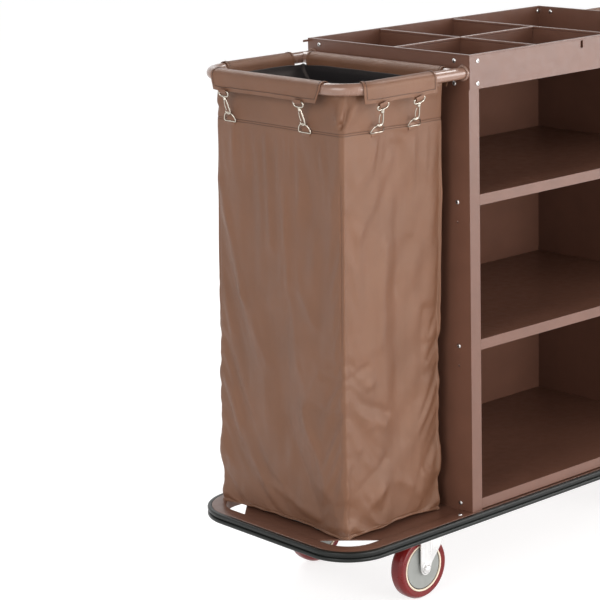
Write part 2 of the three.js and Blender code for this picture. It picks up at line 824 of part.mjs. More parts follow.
cart.add(piece("back_panel", backPanel(), paint));
cart.add(piece("fascia", fascia(), paint));
cart.add(piece("tray_pan", trayPan(), paint));
cart.add(piece("tray_divider_long", longDivider(), paint));
for (const [name, x] of Object.entries(CROSS_DIVIDERS_X)) {
  cart.add(piece(name, crossDivider(x, name === "tray_divider_left"), paint));
}
for (const [name, top] of Object.entries(SHELF_TOPS)) {
  cart.add(piece(name, shelf(top), paint));
}

const HOOK_TOP = TUBE_HEIGHT - FLAP_DROP - GAP - HOOK_WIRE;
const HOOK_REACH = TUBE_RADIUS + FLAP_CLEARANCE + FLAP_SHEET / 2;
const END_HOOKS_Y = [117, -86];
const FRONT_HOOKS_X = [548, 459];

function hungHook(label, x, y, turn, tilt, lean) {
  const hung = new THREE.Group();
  hung.position.set(x, y, HOOK_TOP - BAIL_HALF * Math.abs(Math.sin(lean)));
  hung.rotation.set(0, 0, turn);
  const tilted = new THREE.Group();
  tilted.rotation.set(tilt, lean, 0);
  tilted.add(piece(`snap_hook_${label}`, snapHook(), nickel));
  tilted.add(piece(`hook_gate_${label}`, hookGate(), nickel));
  hung.add(tilted);
  return hung;
}

for (const [end, side] of [
  ["left", -1],
  ["right", 1],
]) {
  cart.add(piece(`end_panel_${end}`, endPanel(side), paint));
  cart.add(piece(`hoop_${end}`, hoop(side), paint));
  cart.add(piece(`hoop_bar_${end}`, hoopBar(side), paint));
  for (const [place, y] of [
    ["front", -HOOP_SIDE_Y],
    ["rear", HOOP_SIDE_Y],
  ]) {
    const collar = piece(`hoop_collar_${end}_${place}`, hoopCollar(), paint);
    collar.position.set(side * (PANEL_X + GAP + COLLAR_LENGTH / 2), y, TUBE_HEIGHT);
    collar.rotation.z = side < 0 ? 0 : Math.PI;
    cart.add(collar);
  }
  cart.add(piece(`bag_${end}`, bag(side), cloth));
  END_HOOKS_Y.forEach((y, i) => {
    const x = side * (HOOP_END_X + HOOK_REACH);
    cart.add(hungHook(`${end}_${i + 1}`, x, y, (side * Math.PI) / 2, END_HOOK_TILT, 0));
  });
  FRONT_HOOKS_X.forEach((x, i) => {
    const y = -HOOP_SIDE_Y - HOOK_REACH;
    cart.add(hungHook(`${end}_${i + 3}`, side * x, y, 0, FRONT_HOOK_TILT, side * FRONT_HOOK_LEAN));
  });
}

for (const [place, y] of [
  ["front", -CASTER_Y],
  ["rear", CASTER_Y],
]) {
  const swivel = swivelCaster(`left_${place}`);
  swivel.position.set(-CASTER_X, y, 0);
  cart.add(swivel);
  const fixed = fixedCaster(`right_${place}`);
  fixed.position.set(CASTER_X, y, 0);
  cart.add(fixed);
}

export default cart;
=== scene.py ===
"""Housekeeping cart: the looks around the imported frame. Metres, floor at z = 0, open side facing -Y."""

import math

import bpy
import numpy as np
from mathutils import Matrix, Vector, noise


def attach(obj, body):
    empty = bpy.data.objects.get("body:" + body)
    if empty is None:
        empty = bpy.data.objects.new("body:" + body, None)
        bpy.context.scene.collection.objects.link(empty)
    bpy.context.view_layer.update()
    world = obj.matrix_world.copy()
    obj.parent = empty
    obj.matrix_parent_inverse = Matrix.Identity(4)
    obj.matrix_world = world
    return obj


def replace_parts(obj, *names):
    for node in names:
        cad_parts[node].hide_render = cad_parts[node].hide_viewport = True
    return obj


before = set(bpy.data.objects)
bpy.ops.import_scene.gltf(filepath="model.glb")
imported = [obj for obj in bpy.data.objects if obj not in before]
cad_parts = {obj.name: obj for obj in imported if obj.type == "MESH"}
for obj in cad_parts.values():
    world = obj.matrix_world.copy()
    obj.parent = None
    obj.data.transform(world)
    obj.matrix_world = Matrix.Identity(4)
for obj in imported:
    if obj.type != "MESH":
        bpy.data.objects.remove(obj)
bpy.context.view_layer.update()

MM = 0.001
LEFT, RIGHT = -1, 1
SIDE_NAMES = {LEFT: "left", RIGHT: "right"}


def add_object(name, data):
    made = bpy.data.objects.new(name, data)
    bpy.context.scene.collection.objects.link(made)
    return made


# ---------------------------------------------------------------- camera
CAMERA_AT = (-3.1448, -2.8965, 1.5486)
CAMERA_TURN, CAMERA_TILT, CAMERA_ROLL = (math.radians(v) for v in (-41.70, 13.93, -1.64))
LENS = 130.2


def make_camera():
    data = bpy.data.cameras.new("camera")
    data.lens, data.sensor_width = LENS, 36
    data.clip_end = 100
    camera = add_object("camera", data)
    a, e, r = CAMERA_TURN, CAMERA_TILT, CAMERA_ROLL
    back = Vector((math.sin(a) * math.cos(e), -math.cos(a) * math.cos(e), math.sin(e)))
    right = Vector((math.cos(a), math.sin(a), 0))
    up = back.cross(right)
    across = right * math.cos(r) + up * math.sin(r)
    upright = up * math.cos(r) - right * math.sin(r)
    turn = Matrix((across, upright, back)).transposed().to_4x4()
    camera.matrix_world = Matrix.Translation(CAMERA_AT) @ turn
    bpy.context.scene.camera = camera


make_camera()


# ---------------------------------------------------------------- materials
class Graph:
    """A Principled material and short ways to add nodes to it."""

    def __init__(self, name, **values):
        self.material = bpy.data.materials.new(name)
        self.material.use_nodes = True
        self.tree = self.material.node_tree
        self.shader = self.tree.nodes["Principled BSDF"]
        for key, value in values.items():
            self.shader.inputs[key.replace("_", " ")].default_value = value

    def node(self, kind, settings=None, **inputs):
        made = self.tree.nodes.new("ShaderNode" + kind)
        for key, value in (settings or {}).items():
            setattr(made, key, value)
        for key, value in inputs.items():
            self.put(made.inputs[self.index(key)], value)
        return made

    @staticmethod
    def index(key):
        return int(key[1:]) if key[0] == "_" else key.replace("_", " ")

    def put(self, socket, value):
        if isinstance(value, bpy.types.NodeSocket):
            self.tree.links.new(value, socket)
        else:
            socket.default_value = value

    def noise(self, scale, detail=3.0, roughness=0.5, vector=None, squash=None):
        where = vector or self.node("TexCoord").outputs["Object"]
        if squash:
            where = self.node("Mapping", Vector=where, Scale=squash).outputs[0]
        made = self.node("TexNoise", Vector=where, Scale=scale, Detail=detail, Roughness=roughness)
        return made.outputs["Fac"]

    def remap(self, value, low, high, to_low, to_high):
        made = self.node("MapRange", Value=value)
        for socket, number in zip(made.inputs[1:5], (low, high, to_low, to_high)):
            socket.default_value = number
        return made.outputs[0]

    def spread(self, noise, to_low=0.0, to_high=1.0):
        """Stretches the middle of a noise over a range."""
        return self.remap(noise, 0.3, 0.7, to_low, to_high)

    def mix(self, share, first, second):
        made = self.node("Mix", {"data_type": "RGBA"}, Factor=share)
        self.put(made.inputs[6], first)
        self.put(made.inputs[7], second)
        return made.outputs[2]

    def math(self, operation, first, second=0.0, third=0.0):
        return self.node("Math", {"operation": operation}, _0=first, _1=second, _2=third).outputs[0]

    def bump(self, height, distance, strength=1.0, normal=None):
        made = self.node("Bump", Height=height, Distance=distance, Strength=strength)
        if normal is not None:
            self.put(made.inputs["Normal"], normal)
        return made.outputs[0]

    def colour(self, value):
        self.put(self.shader.inputs["Base Color"], value)

    def roughness(self, value):
        self.put(self.shader.inputs["Roughness"], value)

    def normal(self, value):
        self.put(self.shader.inputs["Normal"], value)


def shade(r, g, b):
    return (r, g, b, 1.0)


def toned(base, factor):
    """A colour with its brightness scaled."""
    return shade(*(v * factor for v in base))


def powder_coat(name, base, low, high, coat=0.0):
    """Powder coat: orange-peel bump, a faint mottle and slightly uneven gloss."""
    g = Graph(name, Coat_Weight=coat, Coat_Roughness=0.12, Specular_IOR_Level=0.5)
    g.colour(g.mix(g.spread(g.noise(26, 4)), toned(base, 0.88), shade(*base)))
    g.roughness(g.spread(g.noise(60, 3), low, high))
    peel = g.bump(g.noise(620, 2), 0.0003, 0.22)
    g.normal(g.bump(g.noise(9, 2), 0.002, 0.12, peel))
    return g.material


WEAVE_PITCH = 0.0011
CLOTH_SHINE = (1, 0.8, 0.68)


def woven(name, base, rough, weave_depth, sheen=0.0):
    """Coated oxford cloth: basket weave across UVs in metres, thread streaks and a soft sheen."""
    g = Graph(name, Sheen_Weight=sheen, Sheen_Roughness=0.5, Specular_IOR_Level=0.5)
    g.shader.inputs["Specular Tint"].default_value = shade(*CLOTH_SHINE)
    uv = g.node("TexCoord").outputs["UV"]
    split = g.node("SeparateXYZ", Vector=uv)
    pitch = 2 * math.pi / WEAVE_PITCH
    across = g.math("SINE", g.math("MULTIPLY", split.outputs[0], pitch))
    along = g.math("SINE", g.math("MULTIPLY", split.outputs[1], pitch))
    weave = g.math("MULTIPLY", across, along)
    warp = g.noise(1.0, 2, 0.6, uv, (900, 60, 1))
    weft = g.noise(1.0, 2, 0.6, uv, (60, 900, 1))
    threads = g.math("ADD", warp, weft)
    cloud = g.noise(11, 4)
    tone = g.math("ADD", g.remap(threads, 0.7, 1.3, 0, 0.6), g.remap(cloud, 0.35, 0.65, 0, 0.4))
    g.colour(g.mix(tone, toned(base, 0.86), toned(base, 1.16)))
    g.roughness(g.remap(threads, 0.7, 1.3, rough - 0.06, rough + 0.08))
    fine = g.bump(g.math("ADD", g.math("MULTIPLY", weave, 0.5), threads), 0.0004, weave_depth)
    g.normal(g.bump(g.noise(38, 3), 0.0016, 0.25, fine))
    return g.material


def metal(name, base, low, high, brushed=None):
    """Bare or plated metal with fine streaks and uneven gloss."""
    g = Graph(name, Metallic=1.0)
    streaks = g.noise(140, 3, 0.6, squash=brushed)
    g.colour(g.mix(g.spread(streaks), toned(base, 0.9), shade(*base)))
    g.roughness(g.spread(g.noise(45, 4), low, high))
    g.normal(g.bump(streaks, 0.0002, 0.15))
    return g.material


def moulded(name, base, low, high, grain=500, depth=0.12, **values):
    """Rubber, plastic or thread: a soft mottle and a fine grain."""
    g = Graph(name, **values)
    g.colour(g.mix(g.spread(g.noise(34, 4)), toned(base, 0.85), shade(*base)))
    g.roughness(g.spread(g.noise(80, 3), low, high))
    g.normal(g.bump(g.noise(grain, 2), 0.0003, depth))
    return g.material


PAINT_TONE = (0.12, 0.052, 0.033)
TUBE_TONE = (0.2, 0.11, 0.078)
CLOTH_TONE = (0.116, 0.0495, 0.0255)
PAINT = powder_coat("brown_powder_coat", PAINT_TONE, 0.3, 0.4)
TUBE_PAINT = powder_coat("brown_tube_gloss", TUBE_TONE, 0.2, 0.3, coat=0.25)
CLOTH = woven("oxford_brown", CLOTH_TONE, 0.4, 0.35, sheen=0.02)
LINER = woven("oxford_black_liner", (0.012, 0.012, 0.014), 0.5, 0.35)
THREAD = moulded("brown_thread", (0.028, 0.014, 0.01), 0.6, 0.75, 900, 0.3)
RUBBER = moulded("bumper_rubber", (0.006, 0.007, 0.006), 0.3, 0.42, 700, 0.2, Specular_IOR_Level=0.28)
TYRE = moulded("tyre_red", (0.13, 0.005, 0.005), 0.25, 0.38, 300, 0.1, Specular_IOR_Level=0.32)
CREAM = moulded("rim_cream", (0.62, 0.52, 0.4), 0.35, 0.5)
HUB = moulded("hub_grey", (0.22, 0.225, 0.21), 0.35, 0.5)
ZINC = metal("bright_zinc", (0.72, 0.71, 0.7), 0.24, 0.4, (1, 1, 0.15))
NICKEL = metal("nickel_plate", (0.52, 0.47, 0.4), 0.12, 0.22)


# ---------------------------------------------------------------- mesh helpers
def piece(name, verts, faces, material, body="cart", slot=None, smooth=30, uvs=None):
    """A mesh object on a body. smooth is the angle in degrees up to which faces blend."""
    mesh = bpy.data.meshes.new(name)
    mesh.from_pydata([tuple(v) for v in verts], [], [tuple(f) for f in faces])
    if uvs is not None:
        layer = mesh.uv_layers.new(name="UVMap")
        loops = np.empty(len(mesh.loops), dtype=np.int64)
        mesh.loops.foreach_get("vertex_index", loops)
        layer.data.foreach_set("uv", np.asarray(uvs, dtype=np.float32)[loops].ravel())
    mesh.update()
    mesh.polygons.foreach_set("use_smooth", [True] * len(mesh.polygons))
    mesh.set_sharp_from_angle(angle=math.radians(smooth))
    mesh.materials.append(material)
    made = add_object(name, mesh)
    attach(made, body)
    return made


class Shell:
    """Collects vertices and faces of several parts for one piece."""

    def __init__(self):
        self.verts = []
        self.faces = []

    def add(self, verts, faces):
        start = len(self.verts)
        self.verts += [tuple(v) for v in verts]
        self.faces += [tuple(start + i for i in f) for f in faces]

    def piece(self, name, material, body="cart", slot=None, smooth=30):
        return piece(name, self.verts, self.faces, material, body, slot, smooth)


def rows_to_faces(rows, columns, close_rows=False, close_columns=True):
    faces = []
    for r in range(rows if close_rows else rows - 1):
        for c in range(columns if close_columns else columns - 1):
            r2, c2 = (r + 1) % rows, (c + 1) % columns
            faces.append((r * columns + c, r * columns + c2, r2 * columns + c2, r2 * columns + c))
    return faces


def skin(rows, columns, closed=False):
    """Faces round stacked loops, joined end to end when closed and capped at both ends otherwise."""
    faces = rows_to_faces(rows, columns, close_rows=closed)
    if not closed:
        last = (rows - 1) * columns
        faces += [tuple(reversed(range(columns))), tuple(range(last, last + columns))]
    return faces


def tube(points, radius, sides=16, closed=False, round_ends=True):
    """A round wire or tube through points, with domed ends unless closed."""
    points = [Vector(p) for p in points]
    count = len(points)
    tangents = []
    for i in range(count):
        before = points[(i - 1) % count] if closed or i > 0 else points[i]
        after = points[(i + 1) % count] if closed or i < count - 1 else points[i]
        tangents.append((after - before).normalized())
    side = tangents[0].orthogonal().normalized()
    frames = []
    for i, tangent in enumerate(tangents):
        if i:
            side = (side - tangent * side.dot(tangent)).normalized()
        frames.append((side.copy(), tangent.cross(side)))
    radii = list(radius) if hasattr(radius, "__len__") else [radius] * count
    stations = list(zip(points, frames, radii))
    if not closed and round_ends:
        dome = [(math.sin(math.acos(k)), k) for k in (0.35, 0.75)]
        tail = [
            (points[0] - tangents[0] * radii[0] * c * 0.6, frames[0], radii[0] * s)
            for s, c in reversed(dome)
        ]
        head = [
            (points[-1] + tangents[-1] * radii[-1] * c * 0.6, frames[-1], radii[-1] * s)
            for s, c in dome
        ]
        stations = tail + stations + head
    verts = []
    for centre, (a, b), r in stations:
        for k in range(sides):
            angle = 2 * math.pi * k / sides
            verts.append(centre + (a * math.cos(angle) + b * math.sin(angle)) * r)
    return verts, skin(len(stations), sides, closed)


def lathe(profile, centre, axis, segments=48, closed=True):
    """(radius, height) points turned about axis through centre. An open profile ends on the axis."""
    axis = Vector(axis).normalized()
    a = axis.orthogonal().normalized()
    b = axis.cross(a)
    centre = Vector(centre)
    verts = []
    for r, h in profile:
        for k in range(segments):
            angle = 2 * math.pi * k / segments
            verts.append(centre + axis * h + (a * math.cos(angle) + b * math.sin(angle)) * r)
    return verts, skin(len(profile), segments, closed)


def arc(cx, cy, radius, start, end, count):
    """Points of an arc, angles in degrees, both ends included."""
    angles = [math.radians(start + (end - start) * i / count) for i in range(count + 1)]
    return [(cx + radius * math.cos(t), cy + radius * math.sin(t)) for t in angles]


def rounded_loop(half_x, half_y, radius, z, steps=20):
    corners = (
        (half_x - radius, half_y - radius, 0),
        (radius - half_x, half_y - radius, 90),
        (radius - half_x, radius - half_y, 180),
        (half_x - radius, radius - half_y, 270),
    )
    turns = [arc(cx, cy, radius, start, start + 90, steps) for cx, cy, start in corners]
    return [Vector((x, y, z)) for turn in turns for x, y in turn]


SLEEPING = []


def modifier(made, name, kind):
    """A modifier that stays off until every piece is in place, so that placing pieces stays quick."""
    added = made.modifiers.new(name, kind)
    added.show_viewport = False
    SLEEPING.append(added)
    return added


def wake_modifiers():
    for added in SLEEPING:
        added.show_viewport = True


def bevelled(name, width, segments=2, angle=35):
    """Softens the edges of a CAD node with a modifier."""
    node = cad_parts[name]
    bevel = modifier(node, "soft_edges", "BEVEL")
    bevel.width, bevel.segments = width, segments
    bevel.limit_method, bevel.angle_limit = "ANGLE", math.radians(angle)
    bevel.harden_normals = True
    return node


def dress(names, material, width=0.0005):
    for name in names:
        node = bevelled(name, width)
        node.data.materials.clear()
        node.data.materials.append(material)


# ---------------------------------------------------------------- cabinet sheet metal
SHEET_NODES = [
    "deck_plate", "back_panel", "fascia", "tray_pan", "tray_divider_long", "tray_divider_left",
    "tray_divider_right", "shelf_upper", "shelf_middle", "shelf_lower", "end_panel_left", "end_panel_right",
]
dress(SHEET_NODES, PAINT)


# ---------------------------------------------------------------- base ring and bumper
BASE_HALF = (0.661, 0.217)
BASE_CORNER = 0.085


def base_ring(name, section, material, slot, smooth):
    """A closed section of (outward offset, z) points in mm, run round the outline of the base."""
    loops = []
    for offset, z in section:
        grow = offset * MM
        loops.append(rounded_loop(BASE_HALF[0] + grow, BASE_HALF[1] + grow, BASE_CORNER + grow, z * MM))
    verts = [v for loop in loops for v in loop]
    faces = rows_to_faces(len(loops), len(loops[0]), close_rows=True)
    return piece(name, verts, faces, material, slot=slot, smooth=smooth)


def make_base():
    channel = (
        [(0, 144), (0, 162)] + arc(-2, 162, 2, 0, 90, 5)[1:]
        + arc(-26.2, 162.2, 1.8, 90, 180, 5) + [(-28, 144), (-25.5, 144)]
        + [(-25.5, 161.5), (-2.5, 161.5), (-2.5, 144)]
    )
    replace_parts(base_ring("base_channel", channel, PAINT, "brown_paint", 40), "base_frame")
    ribs = [(0.3, 144.7)]
    for low in (144.7, 155.7):
        ribs += arc(4.9, low + 3.1, 3.1, -90, 0, 6) + arc(4.9, low + 4.9, 3.1, 0, 90, 6)
    ribs += [(0.3, 163.7)]
    first, second = ribs[:15], ribs[15:]
    groove = [(4.1, first[-1][1] + 0.4), (4.1, second[0][1] - 0.4)]
    strip = base_ring("bumper_ribs", first + groove + second, RUBBER, "bumper_rubber", 50)
    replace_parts(strip, "bumper_strip")


make_base()


# ---------------------------------------------------------------- screws
PANEL_OUT = 0.333
BASE_TOP = 0.164


def pan_head(shell, at, axis, radius=0.0042, height=0.0022):
    """A domed head with a cross recess, its underside at a point on the sheet."""
    profile = [(radius, 0), (radius, height * 0.35)]
    profile += [(radius * math.cos(t), height * (0.35 + 0.65 * math.sin(t))) for t in (0.35, 0.75, 1.1, 1.35)]
    shell.add(*lathe(profile, at, axis, 20, closed=False))


def recess_shade_bars(shell, at, axis, size=0.0021, height=0.0022):
    """Painted shade of the cross recess of a screw head: two near-black bars just proud of its top."""
    axis = Vector(axis)
    a = axis.orthogonal().normalized()
    b = axis.cross(a)
    proud, sunk, slimness = 0.00006, 0.0004, 0.22
    top = Vector(at) + axis * (height + proud)
    for along, across in ((a, b), (b, a)):
        half_long, half_wide = along * size, across * size * slimness
        corners = [top + half_long * s + half_wide * t for s, t in ((-1, -1), (1, -1), (1, 1), (-1, 1))]
        below = [c - axis * sunk for c in corners]
        sides = [(k, (k + 1) % 4, 4 + (k + 1) % 4, 4 + k) for k in range(4)]
        shell.add(corners + below, [(0, 1, 2, 3), (7, 6, 5, 4)] + sides)


PANEL_SCREWS = ((-0.177, 1.0177), (-0.177, 0.9766), (0.1826, 1.0197)) + tuple(
    (y, z) for z in (0.758, 0.485, 0.177) for y in (-0.182, 0.182)
)


def make_screws():
    """Screws of the end panels' outer faces, fascia, base and tray corners, with painted shade bars in their
    cross recesses.
    """
    heads, recess_shade = Shell(), Shell()
    spots = []
    for side in (LEFT, RIGHT):
        spots += [((side * PANEL_OUT, y, z), (side, 0, 0)) for y, z in PANEL_SCREWS]
        spots += [((side * 0.3125, -0.215, z), (0, -1, 0)) for z in (1.018, 0.977)]
        spots += [((side * 0.356, y, BASE_TOP), (0, 0, 1)) for y in (-0.202, 0.202)]
        spots.append(((side * 0.3262, 0.176, 1.020), (-side, 0, 0)))
        spots.append(((side * 0.323, 0.2086, 1.020), (0, -1, 0)))
    for at, out in spots:
        pan_head(heads, at, out)
        recess_shade_bars(recess_shade, at, out)
    heads.piece("screw_heads", ZINC, slot="zinc_steel", smooth=50)
    # near-black bars painted in as the shade of the screw recesses
    recess_shade.piece("screw_recess_shade", RUBBER, slot="bumper_rubber")


make_screws()


# ---------------------------------------------------------------- hoops
TUBE_R = 0.011
TUBE_Z = 0.997
HOOP_X, HOOP_Y, HOOP_BEND = 0.619, 0.2, 0.06
HOOP_ROOT, COLLAR_FACE = 0.3335, 0.3334
BEND_X, BEND_Y = HOOP_X - HOOP_BEND, HOOP_Y - HOOP_BEND
BAR_X = 0.359


def hoop_line(side, steps=22):
    front = arc(BEND_X, -BEND_Y, HOOP_BEND, -90, 0, steps)
    back = arc(BEND_X, BEND_Y, HOOP_BEND, 0, 90, steps)
    flat = [(HOOP_ROOT, -HOOP_Y), (0.36, -HOOP_Y), *front, *back, (0.36, HOOP_Y), (HOOP_ROOT, HOOP_Y)]
    return [Vector((side * x, y, TUBE_Z)) for x, y in flat]


def collar(shell, side, y):
    """A pressed ring against the panel with a beaded weld round the tube."""
    at = (side * COLLAR_FACE, y, TUBE_Z)
    bore = TUBE_R + 0.0003
    profile = [(bore, 0), (0.0142, 0), (0.0145, 0.0006), (0.0145, 0.0022), (0.0138, 0.003), (bore, 0.003)]
    shell.add(*lathe(profile, at, (side, 0, 0), 40))
    beads, bead_radius = 26, 0.0014
    bead = [(bead_radius * math.sin(t), bead_radius * math.cos(t)) for t in (2.4, 1.8, 1.2, 0.6)]
    for k in range(beads):
        angle = 2 * math.pi * k / beads
        across = Vector((0, math.cos(angle), math.sin(angle)))
        at_bead = Vector(at) + across * (TUBE_R + 0.0011) + Vector((side * 0.0034, 0, 0))
        shell.add(*lathe(bead, at_bead, across, 8, closed=False))


def make_hoop(side):
    name = SIDE_NAMES[side]
    hoop = tube(hoop_line(side), TUBE_R, 36, round_ends=False)
    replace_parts(piece(f"hoop_tube_{name}", *hoop, TUBE_PAINT, slot="brown_paint"), f"hoop_{name}")
    reach = HOOP_Y - 0.004
    bar = tube([(side * BAR_X, y, TUBE_Z) for y in (-reach, 0, reach)], TUBE_R, 36, round_ends=False)
    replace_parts(piece(f"hoop_cross_bar_{name}", *bar, TUBE_PAINT, slot="brown_paint"), f"hoop_bar_{name}")
    for place, y in (("front", -HOOP_Y), ("rear", HOOP_Y)):
        ring = Shell()
        collar(ring, side, y)
        ring = ring.piece(f"weld_collar_{name}_{place}", TUBE_PAINT, slot="brown_paint", smooth=60)
        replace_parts(ring, f"hoop_collar_{name}_{place}")


for side in (LEFT, RIGHT):
    make_hoop(side)


# ---------------------------------------------------------------- casters
WHEEL_Z = 0.0625
CASTER_Y = 0.1435
TRAIL = 0.033
SWIVEL_X, FIXED_X = -0.378, 0.378
PLATE_TOP, PLATE_LOW = 0.1592, 0.1562
PLATE_HALF, BOLT_AT = (0.047, 0.035), (0.036, 0.026)
LEG_IN, LEG_OUT = 0.019, 0.022


def scaled(points):
    return [(a * MM, b * MM) for a, b in points]


def wheel_pieces(name, centre, body):
    tread = (
        [(47.3, -14.6), (54, -15.6)] + arc(54.5, -10.5, 5.2, -90, -38, 5) + arc(-17, 0, 79.5, -6.2, 6.2, 8)
        + arc(54.5, 10.5, 5.2, 38, 90, 5) + [(54, 15.6), (47.3, 14.6)]
    )
    about = centre, (0, 1, 0)
    tyre = piece(f"tyre_{name}", *lathe(scaled(tread), *about, 96), TYRE, body, "tyre_rubber", 50)
    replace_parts(tyre, f"caster_tyre_{name}")
    rim = [(43.3, -13.9), (43.9, -14.9), (46.4, -15.2), (47, -14.5)]
    rim += [(r, -h) for r, h in reversed(rim)]
    piece(f"rim_{name}", *lathe(scaled(rim), *about, 72), CREAM, body, smooth=40)
    core = [(5.3, -18.4), (11.5, -18.4), (12, -18), (12.5, -14.9), (14, -14.3), (40.8, -14.2), (41.6, -13.6)]
    core += [(42, -12.2), (43.2, -12.2)]
    core += [(r, -h) for r, h in reversed(core)]
    hub = piece(f"hub_{name}", *lathe(scaled(core), *about, 72), HUB, body, "hub_plastic", 35)
    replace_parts(hub, f"caster_wheel_{name}")
    # painted shade: a near-black ring filling the gap between the hub and the rim
    groove = [(41.9, -12.4), (43.3, -12.4), (43.3, -13), (41.9, -13)]
    made = Shell()
    for sign in (-1, 1):
        made.add(*lathe(scaled([(r, sign * h) for r, h in groove]), *about, 72))
    made.piece(f"hub_gap_shade_{name}", RUBBER, body)


def domed_end(shell, centre, sign):
    """A hexagon on a washer with a domed cap over it."""
    face = LEG_OUT + 0.0002
    out = (0, sign, 0)
    foot = Vector(centre) + Vector((0, sign * face, 0))
    shell.add(*lathe(scaled([(5.2, 0), (9.2, 0), (9.4, 0.3), (9.2, 1.1), (5.2, 1.1)]), foot, out, 32))
    top = foot + Vector((0, sign * 0.0011, 0))
    shell.add(*lathe(scaled([(7.6, 0), (7.6, 2.4), (7, 3.0)]), top, out, 6, closed=False))
    dome = scaled([(6.1 * math.cos(t), 3 + 2.2 * math.sin(t)) for t in (0, 0.4, 0.8, 1.15, 1.4)])
    shell.add(*lathe(dome, top, out, 28, closed=False))


def axle(name, centre, body):
    made = Shell()
    ends = [Vector(centre) + Vector((0, s * (LEG_OUT + 0.001), 0)) for s in (-1, 1)]
    made.add(*tube([ends[0], centre, ends[1]], 0.005, 24, round_ends=False))
    for sign in (-1, 1):
        domed_end(made, centre, sign)
    bolt = made.piece(f"axle_bolt_{name}", ZINC, body, "zinc_steel", 40)
    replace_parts(bolt, f"caster_axle_{name}")


def leg(shell, outline, x0, y0, sign):
    """A plate with a pressed rib down its middle, from an (x, z) outline in mm about a point."""
    points = [(x0 + a * MM, b * MM) for a, b in outline]
    count = len(points)
    inner = [Vector((x, y0 + sign * LEG_IN, z)) for x, z in points]
    mid = [Vector((x, y0 + sign * (LEG_OUT - 0.0006), z)) for x, z in points]
    cx = sum(x for x, _ in points) / count
    cz = sum(z for _, z in points) / count
    outer = []
    for x, z in points:
        pull = 1 - 0.0007 / max(math.hypot(x - cx, z - cz), 0.001)
        outer.append(Vector((cx + (x - cx) * pull, y0 + sign * LEG_OUT, cz + (z - cz) * pull)))
    shell.add(inner + mid + outer, skin(3, count))


def rib(shell, x_top, z_top, x_low, z_low, y, sign, width=0.0032):
    """A long shallow half-round ridge on a leg's face."""
    shares = np.linspace(0, 1, 14)
    sunk = y - sign * width * 0.55
    line = [Vector((x_top + (x_low - x_top) * t, sunk, z_top + (z_low - z_top) * t)) for t in shares]
    radii = [width * min(1, 0.45 + 3 * min(t, 1 - t)) for t in shares]
    shell.add(*tube(line, radii, 16))


def top_plate(shell, x0, y0):
    outline = rounded_loop(*PLATE_HALF, 0.006, 0, 5)
    low = [v + Vector((x0, y0, PLATE_LOW)) for v in outline]
    high = [v + Vector((x0, y0, PLATE_TOP)) for v in outline]
    shell.add(low + high, skin(2, len(outline)))
    for sx in (-1, 1):
        for sy in (-1, 1):
            bolt = (x0 + sx * BOLT_AT[0], y0 + sy * BOLT_AT[1], PLATE_LOW)
            shell.add(*lathe(scaled([(6.5, 0), (6.5, 4), (5.5, 4.6)]), bolt, (0, 0, -1), 6, closed=False))


SWIVEL_LEG = (
    [(-46, 137), (21.5, 137)] + [(20.5, 118), (13, 108), (-17.5, 70)]
    + arc(-33, 61.5, 12.6, 0, -180, 10) + [(-46, 70)]
)
FIXED_LEG = [(-28, 158), (28, 158), (26, 138)] + arc(0, 61.5, 12.6, 0, -180, 10) + [(-26, 138)]


def swivel_caster(place, y):
    name, body = f"left_{place}", f"swivel_left_{place}"
    fixed = Shell()
    top_plate(fixed, SWIVEL_X, y)
    race = scaled([(6.4, 146), (22.6, 146), (24, 147.4), (24, 152), (21, 156.4), (6.4, 156.4)])
    fixed.add(*lathe(race, (SWIVEL_X, y, 0), (0, 0, 1), 48))
    plate = fixed.piece(f"swivel_plate_{name}", ZINC, slot="zinc_steel", smooth=40)
    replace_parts(plate, f"caster_plate_{name}")
    fork = Shell()
    race = scaled([(6.4, 137), (25.5, 137), (27, 138.5), (27, 142.5), (24.2, 145.7), (6.4, 145.7)])
    fork.add(*lathe(race, (SWIVEL_X, y, 0), (0, 0, 1), 48))
    corners = ((-46, -22), (21.5, -22), (21.5, 22), (-46, 22))
    crown = [Vector((SWIVEL_X + a * MM, y + b * MM, 0)) for a, b in corners]
    rows = [[v + Vector((0, 0, z)) for v in crown] for z in (0.134, 0.137)]
    fork.add(rows[0] + rows[1], skin(2, 4))
    for sign in (-1, 1):
        leg(fork, SWIVEL_LEG, SWIVEL_X, y, sign)
        face = y + sign * LEG_OUT
        rib(fork, SWIVEL_X - 0.0165, 0.132, SWIVEL_X - 0.0205, 0.076, face, sign)
        fork.add(*lathe(scaled([(9.8, -0.4), (10.8, -0.1), (11.3, 0.7), (10.4, 1.0), (9.6, 0.2)]),
                        (SWIVEL_X - TRAIL, face, WHEEL_Z), (0, sign, 0), 36))
    made = fork.piece(f"fork_{name}", ZINC, body, "zinc_steel", 40)
    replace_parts(made, f"caster_fork_{name}")
    pin = Shell()
    pin.add(*tube([(SWIVEL_X, y, z) for z in (0.1294, 0.145, 0.1588)], 0.006, 24, round_ends=False))
    pin.add(*lathe(scaled([(9, 0), (9, 4), (7.6, 5)]), (SWIVEL_X, y, 0.1334), (0, 0, -1), 6, closed=False))
    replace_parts(pin.piece(f"kingpin_{name}", ZINC, slot="zinc_steel", smooth=40), f"caster_kingpin_{name}")
    centre = Vector((SWIVEL_X - TRAIL, y, WHEEL_Z))
    axle(name, centre, body)
    wheel_pieces(name, centre, f"wheel_{name}")


def fixed_caster(place, y):
    name = f"right_{place}"
    bracket = Shell()
    top_plate(bracket, FIXED_X, y)
    for sign in (-1, 1):
        leg(bracket, FIXED_LEG, FIXED_X, y, sign)
        face = y + sign * LEG_OUT
        rib(bracket, FIXED_X, 0.148, FIXED_X, 0.078, face, sign)
    made = bracket.piece(f"bracket_{name}", ZINC, slot="zinc_steel", smooth=40)
    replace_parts(made, f"caster_bracket_{name}")
    centre = Vector((FIXED_X, y, WHEEL_Z))
    axle(name, centre, "cart")
    wheel_pieces(name, centre, f"wheel_{name}")


for place, y in (("front", -CASTER_Y), ("rear", CASTER_Y)):
    swivel_caster(place, y)
    fixed_caster(place, y)


